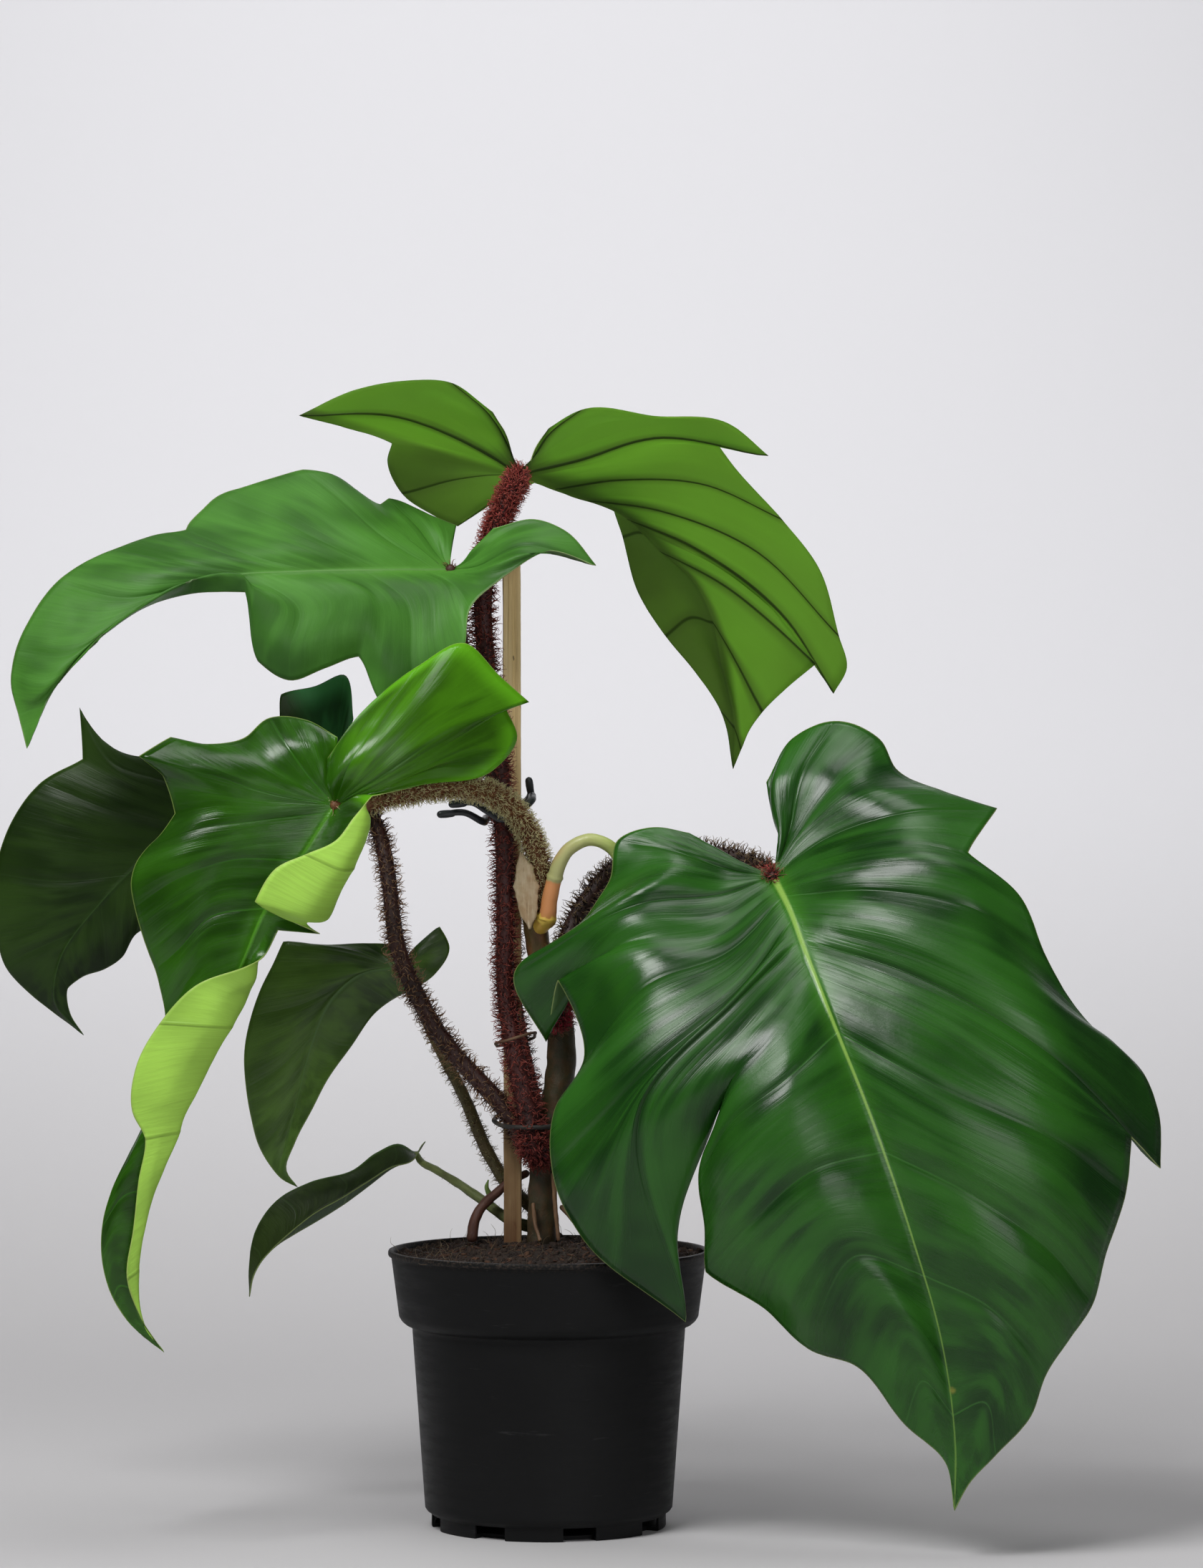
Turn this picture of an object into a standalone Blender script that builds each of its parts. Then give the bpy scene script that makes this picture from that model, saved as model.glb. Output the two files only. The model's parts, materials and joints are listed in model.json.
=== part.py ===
"""Potted philodendron: seven lobed leaves on hairy petioles, tied to a stake in a nursery pot.

Millimetres in the tables, metres in the scene. +Z is up, X to the right, Y to the back, and the
origin is the centre of the flat underside of the pot. Everything that grows out of the pot is laid
out from DATUM, the middle of the pot's mouth, so it rises and falls with the pot.
"""

import math

import bpy
import bmesh
from mathutils import Vector

MM = 0.001

# ---------------------------------------------------------------- driving sizes, in millimetres
POT_HEIGHT = 165.0
LIP_RADIUS = 96.0
LIP_HEIGHT = 3.6
BAND_TOP_RADIUS = 94.0
BAND_FOOT_RADIUS = 89.5
BAND_HEIGHT = 40.0
BODY_TOP_RADIUS = 81.5
BODY_FOOT_RADIUS = 74.0
FOOT_RADIUS = 70.0
FOOT_HEIGHT = 9.0
POT_WALL = 1.6
POT_FLOOR = 2.4
SLOT_COUNT = 8
SLOT_WIDTH = 20.0
SLOT_HEIGHT = 8.0
SLOT_DEPTH = 9.0
POT_STEPS = 48

SOIL_FIT = 0.6
SOIL_DROP = 3.5
SOIL_MOUND = 7.5

STAKE_WIDTH = 11.0
STAKE_TOP = 430.0
STAKE_BURIED = 120.0
STAKE_AT = (-21.5, 2.0)
STAKE_TOP_LEAN = -0.8
SOCKET_FIT = 0.6

STEM_BURIED = 60.0
GAP = 0.6
BLADE_THICKNESS = 1.3
BLADE_ROW = 20.0
BLADE_COLUMNS = 5
SHEATH_THICKNESS = 0.9

DATUM = Vector((0.0, 0.0, POT_HEIGHT))

# ---------------------------------------------------------------- stems, roots and ties
# Each route is (x, y, height above the datum, radius), chosen by hand.
MAIN_STEM = [
    (-4, -8, -60, 8.0), (-4, -8, 11, 8.5), (-3, -8, 45, 8.5), (1, -9, 74, 8.8), (7, -10, 104, 8.8),
    (7, -10, 130, 8.4), (0, -10, 154, 8.0), (-6, -10, 180, 7.4), (-9, -10, 201, 7.0),
]
ROUTES = {
    "petiole_top": [
        (-8, -24, 62, 7.0), (-12, -24, 84, 6.2), (-20, -21, 118, 5.6), (-25, -16, 150, 5.4),
        (-26, -15, 200, 5.2), (-27, -15, 255, 5.2), (-30, -15, 300, 5.2), (-37, -15, 350, 5.2),
        (-39, -15, STAKE_TOP - 45, 5.2), (-36, -15, STAKE_TOP - 15, 5.2), (-29, -14, STAKE_TOP + 7, 5.4),
        (-20, -9.5, STAKE_TOP + 27.5, 5.0),
    ],
    "petiole_left_upper": [
        (-5, 10, 72, 5.0), (-13, 15, 104, 4.6), (-21, 18, 150, 4.4), (-23, 18, 200, 4.4),
        (-24, 18, 240, 4.4), (-33, 16, 278, 4.4), (-44, 6, 318, 4.4), (-52, -2, 360, 4.4),
        (-57, -6, 398, 4.4),
    ],
    "petiole_bright": [
        (-8, -12.5, 209, 6.0), (-5, -17, 223, 5.8), (-8, -24, 240, 5.4), (-15, -34, 256, 5.2),
        (-26, -46, 268, 5.2), (-42, -60, 275, 5.2), (-62, -76, 276, 5.0), (-84, -90, 272, 4.8),
        (-104, -101, 267, 4.4), (-115, -106, 263, 4.0),
    ],
    "petiole_dark_left": [
        (-15, -14, 64, 5.4), (-20, -14, 75, 5.4), (-29, -14, 88, 5.2), (-44, -12, 104, 5.2),
        (-57, -10, 118, 5.0), (-76, -6, 147, 5.0), (-91, -2, 184, 4.8), (-95, 3, 214, 4.6),
        (-99, 12, 237, 4.6), (-106, 23, 257, 4.4), (-117, 27, 272, 4.2), (-128, 17, 279.5, 4.0),
    ],
    "petiole_lower_left": [
        (-8, 16, 22, 4.2), (-22, 23, 33, 4.0), (-36, 26, 54, 3.8), (-51, 31, 88, 3.6),
        (-68, 44, 120, 3.4), (-80, 64, 143, 3.2), (-89, 75, 156, 3.0), (-93, 72, 162, 3.0),
    ],
    "petiole_small": [
        (-8, 14, 11, 3.8), (-22, 18, 15, 3.5), (-40, 24, 27, 3.0), (-56, 34, 37, 2.6),
        (-69, 44, 44, 2.3), (-79, 54, 49, 2.0),
    ],
    "petiole_front": [
        (5, -26, 143, 6.0), (5, -24, 160, 5.6), (11, -20, 186, 5.2), (23, -15, 209, 5.0),
        (40, -11, 228, 5.0), (62, -7, 236, 5.0), (92, -8, 237, 4.8), (117, -22, 232, 4.6),
        (130, -45, 225, 4.4), (132, -54, 222, 4.2),
    ],
    "arched_root": [
        (-1, -20, 199, 5.2), (1, -24, 211, 4.8), (5, -29, 227, 4.4), (13, -31, 240, 4.0),
        (24, -32, 245, 3.8), (35, -32, 242, 3.8), (43, -32, 233, 3.8), (48, -32, 216, 3.7),
        (52, -32, 196, 3.2),
    ],
    "soil_root_left": [
        (-14, 12.5, 44, 2.4), (-24, 13.5, 39, 2.6), (-31, 11, 33, 2.8), (-38, 8, 27, 3.0),
        (-44, 4, 18, 3.2), (-46, 2, 7, 3.4),
    ],
    "soil_root_front": [(3, -19.5, 46, 1.5), (4, -22, 28, 1.4), (6, -27, 8, 1.2)],
    "soil_root_middle": [(-9, -19.5, 28, 1.3), (-8, -23, 18, 1.2), (-5, -29, 8, 1.1)],
    "soil_root_right": [(8, -13, 26, 1.5), (16, -17, 17, 1.4), (22, -22, 7, 1.2)],
    "side_bud": [(-36, 16, 31.5, 1.8), (-37.5, 14, 36, 1.3), (-36.5, 13, 40, 0.5)],
    "clip_jaw_front": [
        (-57, -26, 266, 1.6), (-45, -26, 267, 1.8), (-36, -26, 262, 2.0), (-27, -26, 257, 2.0),
        (-17, -23, 262, 2.0), (-10.5, -14, 268, 2.0), (-10, -3, 270, 2.0), (-10, 5, 271, 1.6),
    ],
    "clip_jaw_back": [
        (-64, -22, 260, 1.6), (-50, -20, 261, 1.8), (-40, -14, 256, 2.0), (-38, 0, 256, 2.0),
        (-38, 14, 257, 2.0), (-36, 22, 258, 2.0), (-28, 27, 260, 2.0), (-17, 23, 265, 2.0),
        (-11, 13, 272, 2.0), (-12, 9, 280, 1.6),
    ],
}
CLOSED_ROUTES = {
    "twist_tie": [
        (-31, -4, 122, 0.9), (-31, -18, 124, 0.9), (-25, -28, 126, 0.9), (-15, -27, 129, 0.9),
        (-8.5, -14, 130, 0.9), (-8.5, 4, 128, 0.9), (-10, 18, 125, 0.9), (-18, 24, 122, 0.9),
        (-28, 18, 121, 0.9), (-31, 7, 121, 0.9),
    ],
    "lower_tie": [
        (-32, 1, 78, 1.4), (-32, -13, 77, 1.4), (-26, -24, 75, 1.4), (-15, -33, 75, 1.4),
        (-4, -33, 75, 1.4), (8, -23, 76, 1.4), (14, -10, 77, 1.4), (13, 6, 79, 1.4),
        (5, 17, 80, 1.4), (-8, 21, 80, 1.4), (-21, 18, 80, 1.4), (-30, 11, 79, 1.4),
    ],
}
ROUTE_FINISH = {
    "petiole_top": ((0.20, 0.035, 0.025), 0.75),
    "petiole_left_upper": ((0.11, 0.03, 0.02), 0.75),
    "petiole_bright": ((0.30, 0.20, 0.06), 0.8),
    "petiole_dark_left": ((0.10, 0.035, 0.02), 0.75),
    "petiole_lower_left": ((0.12, 0.11, 0.04), 0.7),
    "petiole_small": ((0.22, 0.28, 0.09), 0.6),
    "petiole_front": ((0.10, 0.04, 0.02), 0.75),
    "arched_root": ((0.36, 0.36, 0.12), 0.5),
    "soil_root_left": ((0.12, 0.05, 0.03), 0.8),
    "soil_root_front": ((0.20, 0.11, 0.05), 0.8),
    "soil_root_middle": ((0.20, 0.11, 0.05), 0.8),
    "soil_root_right": ((0.20, 0.11, 0.05), 0.8),
    "side_bud": ((0.30, 0.42, 0.12), 0.5),
    "clip_jaw_front": ((0.012, 0.014, 0.018), 0.4),
    "clip_jaw_back": ((0.012, 0.014, 0.018), 0.4),
    "twist_tie": ((0.16, 0.08, 0.04), 0.6),
    "lower_tie": ((0.02, 0.02, 0.02), 0.7),
}

# The papery sheath: (height above the datum, middle x, half width, how far it bows to the front)
SHEATH = [(192, -11, 0.8, 1.0), (203, -12, 5.6, 2.0), (216, -13, 7.0, 2.4), (228, -14, 5.2, 2.0),
          (238, -16, 0.8, 1.0)]
SHEATH_Y = -27.5

# ---------------------------------------------------------------- leaves
# A blade is drawn in its own frame, in millimetres, and only its distances from its first midrib
# point, where the petiole meets it, are used. Its midrib runs from there to the tip. Each rib is
# (share of the midrib at which it starts, right corner, right points, left corner, left points):
# the points go outwards three numbers at a time and the last lies on the margin. Right and left
# are as seen on the upper side with the tip down. A corner of 1 makes the margin pointed there.
LEAVES = {
    "leaf_front": {
        "joins": "petiole_front",
        "gap": (0, -6.0, 2.0),
        "midrib": [(132, -60, 389), (140, -84, 372), (150, -112, 344), (162, -132, 312), (185, -150, 253),
                   (208, -154, 185), (224, -150, 129), (233, -144, 60), (233, -136, 28)],
        "ribs": [
            (0, 0, (138, -52, 403, 133, -42, 419, 129, -30, 444), 0, (115, -54, 397, 99, -49, 406, 83, -45, 414)),
            (0, 0, (137, -50, 412, 135, -36, 445, 145, -18, 470), 0, (112, -55, 395, 88, -51, 404, 60, -45, 417)),
            (0, 0, (141, -49, 412, 150, -38, 450, 170, -16, 480), 0, (110, -57, 392, 75, -58, 404, 41, -46, 410)),
            (0, 0, (146, -50, 413, 172, -42, 448, 197, -20, 469), 0, (108, -59, 389, 72, -66, 396, 36, -52, 386)),
            (0, 0, (149, -52, 412, 180, -50, 442, 206, -30, 452), 0, (107, -61, 387, 70, -70, 392, 30, -53, 376)),
            (0, 0, (152, -54, 412, 190, -60, 436, 233, -45, 438), 0, (105, -64, 384, 66, -74, 388, 23, -54, 366)),
            (0, 1, (158, -60, 409, 205, -72, 426, 264, -48, 428), 0, (102, -69, 379, 55, -80, 374, -20, -52, 331)),
            (.01, .8, (165, -75, 400, 210, -90, 409, 244, -92, 403), 1, (104, -76, 368, 50, -86, 362, -1, -36, 291)),
            (.03, 0, (175, -90, 393, 225, -104, 396, 274, -98, 377), .4, (100, -86, 356, 52, -92, 349, 6, -66, 328)),
            (.05, 0, (190, -104, 382, 245, -114, 372, 288, -98, 345), 0, (104, -100, 346, 58, -108, 328, 22, -90, 283)),
            (.08, 0, (200, -116, 366, 262, -124, 342, 315, -96, 302), 0, (110, -112, 334, 62, -122, 305, 4, -100, 254)),
            (.10, 0, (205, -122, 354, 275, -130, 322, 346, -90, 275), 0, (112, -120, 326, 62, -132, 284, 3, -106, 220)),
            (.12, 0, (210, -126, 342, 285, -134, 305, 355, -86, 250), 0, (110, -126, 322, 58, -138, 270, 20, -112, 182)),
            (.14, 1, (214, -130, 332, 285, -138, 291, 356, -88, 220), 1, (108, -130, 318, 56, -140, 262, 80, -116, 134)),
            (.17, 0, (218, -136, 318, 285, -142, 278, 346, -102, 231), 0, (112, -134, 305, 70, -142, 255, 75, -122, 184)),
            (.21, 1, (222, -142, 302, 285, -146, 264, 336, -116, 240), 1, (128, -142, 298, 106, -144, 275, 99, -136, 257)),
            (.30, 0, (225, -156, 270, 290, -150, 240, 332, -122, 208), 0, (135, -158, 275, 104, -152, 250, 87, -134, 220)),
            (.39, 0, (235, -160, 240, 290, -154, 208, 320, -130, 174), 0, (142, -164, 250, 106, -154, 215, 91, -128, 185)),
            (.48, 0, (245, -162, 208, 288, -154, 176, 312, -136, 146), .7, (152, -166, 225, 112, -154, 190, 92, -124, 164)),
            (.57, 0, (250, -162, 176, 282, -156, 150, 298, -142, 127), 0, (160, -166, 200, 130, -154, 168, 124, -130, 144)),
            (.66, 0, (252, -160, 146, 272, -156, 126, 285, -146, 108), 0, (175, -164, 176, 155, -156, 142, 152, -134, 119)),
            (.76, 0, (252, -156, 120, 276, -148, 84), 0, (196, -160, 148, 176, -138, 112)),
            (.86, 0, (248, -152, 92, 256, -146, 61), 0, (214, -154, 104, 204, -142, 78)),
            (.94, 0, (241, -141, 44), 0, (228, -139, 54)),
            (1, 0, (233, -136, 28), 0, (233, -136, 28)),
        ],
    },
    "leaf_top": {
        "joins": "petiole_top",
        "gap": (2.0, 5.5, 5.5),
        "midrib": [(-19, -4, 628), (13, 10, 616), (43, 25, 605), (64, 38, 586), (87, 50, 566), (98, 58, 543),
                   (103, 64, 520), (112, 72, 477), (111, 72, 452)],
        "ribs": [
            (0, 0, (-23, -5, 640, -27, -9, 652, -34, -14, 664), 0, (-14, -5, 632, -9, -7, 643, -1, -8, 655)),
            (0, 0, (-24, -7, 642, -36, -16, 662, -58, -22, 681), 0, (-10, -6, 638, -2, -8, 650, 18, -10, 666)),
            (0, 0, (-28, -8, 643, -50, -22, 666, -87, -26, 682), 0, (0, -8, 643, 30, -8, 658, 63, 0, 663)),
            (0, 0, (-34, -8, 643, -68, -24, 665, -114, -26, 677), 0, (8, -6, 640, 50, -2, 655, 106, 15, 660)),
            (0, 1, (-40, -8, 641, -90, -22, 661, -149, -20, 662), 1, (15, -2, 636, 60, 4, 650, 131, 25, 641)),
            (.02, .7, (-38, -4, 636, -76, -6, 648, -125, -14, 656), 1, (24, 4, 634, 62, 10, 646, 100, 20, 648)),
            (.06, .8, (-36, 2, 634, -66, 4, 642, -95, 4, 647), 0, (30, 10, 632, 72, 18, 640, 111, 28, 634)),
            (.10, 0, (-30, 8, 629, -64, 12, 634, -98, 14, 638), 0, (42, 18, 626, 92, 28, 624, 140, 38, 603)),
            (.14, 0, (-20, 18, 629, -58, 24, 627, -90, 28, 619), 0, (55, 24, 618, 110, 38, 604, 163, 46, 573)),
            (.18, 0, (-12, 28, 629, -48, 38, 619, -73, 42, 607), 0, (66, 32, 608, 125, 46, 584, 175, 54, 533)),
            (.24, .8, (0, 36, 631, -30, 50, 619, -57, 56, 600), 0, (78, 38, 598, 138, 52, 562, 180, 56, 514)),
            (.30, 0, (24, 44, 626, 2, 56, 631, -20, 62, 634), 1, (88, 46, 586, 142, 58, 545, 172, 60, 498)),
            (.36, .8, (50, 46, 609, 33, 62, 623), 1, (98, 52, 576, 130, 58, 555, 146, 58, 536)),
            (.42, .5, (56, 54, 596, 43, 72, 594), 1, (108, 56, 562, 138, 58, 538, 161, 52, 516)),
            (.52, 0, (68, 66, 570, 52, 78, 562), 0, (118, 62, 530, 143, 62, 501)),
            (.64, 0, (85, 72, 545, 70, 82, 534), 0, (116, 68, 512, 129, 66, 487)),
            (.77, 0, (96, 78, 520, 88, 82, 512), 0, (113, 72, 494, 120, 70, 474)),
            (.90, 0, (104, 78, 488), 0, (116, 72, 464)),
            (1, 0, (111, 72, 452), 0, (111, 72, 452)),
        ],
    },
    "leaf_left_upper": {
        "joins": "petiole_left_upper",
        "gap": (-1.5, -8.0, 7.5),
        "midrib": [(-59, -15, 572), (-101, -40, 571), (-148, -62, 569), (-185, -78, 566), (-221, -88, 556),
                   (-255, -92, 534), (-285, -90, 502), (-303, -84, 465)],
        "ribs": [
            (0, 0, (-52, -20, 576, -46, -26, 583, -33, -30, 596), 0, (-59, -10, 579, -58, -2, 588, -56, 10, 600)),
            (0, 0, (-48, -22, 576, -32, -32, 588, -8, -34, 601), 0, (-62, -9, 579, -64, -1, 591, -70, 14, 606)),
            (0, 0, (-46, -26, 575, -18, -42, 589, 10, -38, 594), .5, (-66, -9, 580, -78, 2, 597, -97, 20, 617)),
            (0, 1, (-44, -30, 573, -14, -48, 585, 28, -44, 574), .6, (-70, -12, 580, -84, -2, 597, -102, 16, 613)),
            (.01, .3, (-44, -34, 570, -22, -52, 577, 1, -50, 582), 0, (-84, -14, 588, -112, 0, 612, -134, 12, 631)),
            (.03, .3, (-50, -36, 567, -38, -48, 566, -26, -54, 567), .5, (-98, -20, 591, -124, -6, 614, -148, 8, 633)),
            (.06, 0, (-56, -42, 562, -46, -58, 548), 0, (-110, -28, 592, -140, -14, 613, -165, -1, 628)),
            (.10, 0, (-62, -46, 560, -57, -56, 545, -49, -62, 525), 0, (-122, -34, 591, -152, -20, 610, -181, -7, 622)),
            (.14, 0, (-72, -50, 558, -68, -62, 530, -62, -66, 492), 0, (-136, -42, 589, -168, -28, 605, -196, -15, 616)),
            (.19, 1, (-84, -56, 552, -80, -66, 515, -76, -68, 470), 0, (-148, -50, 586, -178, -38, 597, -206, -28, 606)),
            (.24, 0, (-96, -62, 550, -96, -70, 520, -98, -68, 492), 0, (-160, -58, 582, -188, -48, 590, -213, -40, 597)),
            (.30, .5, (-108, -68, 552, -108, -72, 536, -111, -68, 519), .6, (-172, -64, 578, -214, -46, 594)),
            (.37, 0, (-126, -74, 550, -130, -80, 530, -130, -76, 512), 0, (-190, -72, 577, -232, -48, 591)),
            (.43, 0, (-145, -80, 545, -150, -86, 522, -151, -80, 505), 0, (-205, -80, 572, -254, -54, 583)),
            (.48, .4, (-160, -84, 550, -166, -86, 532, -169, -80, 516), 0, (-222, -84, 566, -272, -58, 574)),
            (.53, .8, (-176, -86, 563, -176, -84, 556), 0, (-240, -86, 553, -288, -62, 562)),
            (.62, 0, (-205, -98, 562, -207, -84, 555), 0, (-256, -88, 540, -302, -68, 543)),
            (.72, 0, (-232, -102, 549, -236, -84, 547), 0, (-276, -92, 520, -311, -74, 522)),
            (.81, 0, (-258, -98, 530, -266, -84, 524), 0, (-292, -92, 500, -313, -78, 504)),
            (.91, 0, (-290, -86, 501), 0, (-308, -82, 485)),
            (1, 0, (-303, -84, 465), 0, (-303, -84, 465)),
        ],
    },
    "leaf_bright": {
        "joins": "petiole_bright",
        "gap": (-7.0, -6.0, 3.0),
        "midrib": [(-122, -112, 431), (-141, -118, 400), (-161, -122, 371), (-175, -124, 339), (-190, -124, 310),
                   (-203, -124, 280), (-213, -124, 250), (-222, -123, 222), (-230, -122, 195),
                   (-236, -121, 165), (-235, -119, 140), (-220, -114, 116)],
        "ribs": [
            (0, 0, (-126, -120, 443, -126, -112, 458), 0, (-121, -108, 445, -121, -100, 470)),
            (0, 0, (-122, -123, 445, -120, -114, 463, -110, -100, 481), 0, (-128, -112, 446, -133, -108, 465, -140, -94, 480)),
            (0, 0, (-114, -124, 452, -97, -113, 479, -74, -88, 512), 0, (-136, -112, 446, -149, -109, 464, -161, -92, 481)),
            (0, 0, (-105, -123, 453, -80, -113, 482, -48, -74, 525), 0, (-143, -113, 445, -162, -110, 458, -176, -100, 469)),
            (0, 0, (-101, -121, 449, -68, -108, 480, -28, -66, 506), 0, (-150, -115, 443, -172, -114, 455, -196, -106, 466)),
            (0, 1, (-97, -120, 446, -58, -104, 472, -11, -60, 491), .8, (-155, -116, 440, -185, -118, 452, -217, -106, 470)),
            (0, .6, (-95, -118, 444, -58, -100, 466, -25, -66, 489), 1, (-158, -118, 437, -190, -120, 447, -234, -120, 459)),
            (0, 0, (-94, -117, 442, -56, -97, 459, -18, -64, 471), .6, (-160, -118, 434, -192, -120, 440, -221, -112, 448)),
            (0, 0, (-95, -116, 440, -64, -98, 452, -32, -74, 451), .8, (-160, -119, 430, -190, -120, 431, -214, -112, 426)),
            (0, 0, (-98, -116, 438, -70, -96, 443), 0, (-162, -120, 427, -194, -121, 424, -223, -112, 413)),
            (.015, 1, (-108, -117, 435, -100, -120, 436), 0, (-164, -120, 422, -200, -122, 417, -231, -112, 405)),
            (.04, 0, (-111, -113, 424, -101, -119, 423, -104, -129, 423, -110, -132, 424), 0,
             (-168, -121, 415, -204, -123, 409, -236, -112, 398)),
            (.07, 0, (-115, -114, 412, -104, -120, 410, -108, -132, 409, -120, -135, 411), 0,
             (-176, -122, 407, -210, -124, 399, -239, -113, 388)),
            (.11, 0, (-122, -116, 398, -111, -121, 395, -116, -134, 394, -137, -139, 403), 0,
             (-182, -122, 399, -212, -124, 388, -237, -114, 372)),
            (.15, 0, (-130, -117, 382, -119, -122, 379, -126, -136, 379, -154, -141, 395), 0,
             (-188, -122, 388, -212, -124, 373, -233, -115, 358)),
            (.18, .7, (-136, -118, 371, -125, -122, 366, -134, -137, 367, -166, -142, 376), 0,
             (-192, -123, 377, -212, -124, 360, -229, -115, 346)),
            (.205, 1, (-144, -120, 365, -130, -124, 357), 0, (-194, -123, 366, -210, -124, 349, -225, -116, 336)),
            (.235, 1, (-159, -121, 362, -154, -120, 359), 0, (-196, -124, 355, -210, -124, 339, -222, -116, 325)),
            (.285, 0, (-167, -122, 346, -162, -123, 344), 0, (-200, -124, 334, -219, -116, 308)),
            (.33, 0, (-170, -123, 331, -166, -129, 332, -171, -134, 339), 0, (-205, -125, 316, -220, -116, 293)),
            (.38, 0, (-176, -124, 318, -172, -129, 318, -180, -137, 322, -200, -140, 328), 0,
             (-211, -125, 298, -223, -117, 279)),
            (.44, 0, (-184, -125, 304, -180, -130, 304, -190, -139, 305, -220, -141, 307), 0,
             (-214, -125, 283, -226, -118, 266)),
            (.51, 0, (-194, -126, 284, -190, -130, 286, -200, -140, 287, -234, -141, 281), 0,
             (-218, -125, 266, -231, -119, 249)),
            (.58, 0, (-205, -126, 262, -201, -130, 264, -212, -138, 262, -236, -139, 256), 0,
             (-225, -125, 248, -241, -120, 228)),
            (.64, .3, (-214, -126, 243, -210, -129, 244, -218, -134, 243, -229, -136, 241), 0,
             (-232, -125, 230, -249, -121, 211)),
            (.71, 0, (-221, -125, 220, -219, -129, 222, -224, -133, 221, -233, -134, 216), 0,
             (-240, -124, 208, -255, -121, 189)),
            (.79, 0, (-229, -124, 195, -228, -127, 196, -236, -131, 190), 0, (-246, -123, 184, -255, -121, 169)),
            (.88, 0, (-234, -121, 163, -234, -124, 164, -240, -128, 160), 0, (-245, -121, 155, -249, -120, 148)),
            (.95, 0, (-233, -120, 137), 0, (-241, -119, 135)),
            (1, 0, (-220, -114, 116), 0, (-220, -114, 116)),
        ],
    },
    "leaf_dark_left": {
        "joins": "petiole_dark_left",
        "gap": (-3.0, -9.0, -0.5),
        "midrib": [(-131, 8, 444), (-180, 2, 432), (-228, -2, 408), (-268, 0, 372), (-294, 8, 335),
                   (-297, 16, 312), (-280, 20, 292)],
        "ribs": [
            (0, 0, (-124, 5, 440, -115, 4, 436), 0, (-126, 11, 455, -118, 24, 482)),
            (0, 0, (-124, 5, 434, -113, 4, 422), 0, (-129, 12, 462, -124, 28, 509)),
            (0, 0, (-126, 6, 430, -118, 8, 404), 0, (-134, 12, 460, -140, 22, 485, -141, 30, 502)),
            (0, 1, (-130, 6, 424, -129, 14, 386), .5, (-139, 12, 458, -152, 22, 480, -162, 30, 497)),
            (.02, .8, (-136, 6, 422, -140, 14, 396), .4, (-147, 11, 455, -163, 22, 478)),
            (.06, 0, (-146, 6, 412, -154, 18, 384), 0, (-165, 8, 456, -198, 16, 464)),
            (.12, 0, (-161, 6, 400, -170, 20, 364), 0, (-195, 4, 455, -236, 12, 460)),
            (.18, 0, (-178, 8, 392, -186, 22, 350), 0, (-220, 2, 450, -245, 6, 459, -264, 12, 462)),
            (.22, 1, (-190, 6, 386, -202, 20, 336), 1, (-230, 0, 445, -262, 6, 456, -282, 14, 489)),
            (.28, .8, (-206, 2, 382, -217, 10, 362), .9, (-240, 0, 438, -280, 12, 458)),
            (.36, 0, (-226, 0, 374, -237, 8, 359), 0, (-258, 0, 426, -305, 14, 444)),
            (.45, 0, (-243, 0, 368, -248, 8, 353), 0, (-276, 2, 408, -324, 16, 418)),
            (.53, 0, (-255, 1, 358, -256, 10, 339), 0, (-294, 4, 385, -333, 18, 390)),
            (.62, 0, (-266, 3, 348, -266, 12, 332), 0, (-306, 8, 362, -333, 20, 358)),
            (.71, 0, (-282, 6, 338, -280, 14, 327), 0, (-312, 12, 342, -328, 22, 334)),
            (.81, .3, (-289, 14, 320), 0, (-312, 22, 316)),
            (.91, 0, (-288, 18, 305), 0, (-297, 22, 304)),
            (1, 0, (-280, 20, 292), 0, (-280, 20, 292)),
        ],
    },
    "leaf_lower_left": {
        "joins": "petiole_lower_left",
        "gap": (-1.0, -9.5, 4.0),
        "midrib": [(-94, 62, 331), (-115, 72, 327), (-136, 80, 308), (-147, 84, 282), (-155, 86, 251),
                   (-162, 86, 222), (-164, 84, 205), (-155, 84, 195)],
        "ribs": [
            (0, 0, (-88, 60, 336, -82, 61, 343), 0, (-95, 65, 338, -97, 71, 345)),
            (0, .7, (-82, 56, 342, -67, 57, 356), 0, (-102, 67, 338, -115, 79, 345)),
            (0, 0, (-81, 54, 336, -61, 55, 343), 0, (-110, 70, 338, -140, 85, 344)),
            (0, 0, (-84, 55, 328, -70, 53, 327), .8, (-118, 72, 338, -164, 84, 346)),
            (.03, .3, (-89, 60, 324, -81, 57, 319), 0, (-128, 76, 333, -170, 84, 333)),
            (.10, 0, (-97, 68, 320, -91, 66, 314), 0, (-142, 78, 322, -178, 84, 317)),
            (.18, 0, (-106, 76, 315, -98, 76, 310), 0, (-152, 80, 308, -184, 84, 300)),
            (.29, 0, (-118, 82, 305, -108, 84, 302), 0, (-162, 82, 290, -188, 84, 279)),
            (.42, 0, (-132, 84, 283, -122, 84, 282), 0, (-170, 83, 266, -187, 84, 256)),
            (.55, 0, (-143, 85, 262, -137, 84, 261), 0, (-172, 84, 246, -184, 84, 238)),
            (.68, 0, (-152, 85, 242, -147, 84, 242), 0, (-172, 84, 226, -179, 84, 220)),
            (.82, 0, (-157, 84, 223), 0, (-172, 84, 208)),
            (.93, 0, (-162, 84, 205), 0, (-165, 84, 200)),
            (1, 0, (-155, 84, 195), 0, (-155, 84, 195)),
        ],
    },
    "leaf_small": {
        "joins": "petiole_small",
        "gap": (-2.0, 4.0, 3.5),
        "midrib": [(-82, 60, 217), (-93, 60, 223), (-106, 60, 218), (-121, 60, 207), (-146, 60, 200),
                   (-168, 60, 188), (-181, 60, 168), (-184, 60, 150), (-184, 60, 130)],
        "ribs": [
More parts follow.
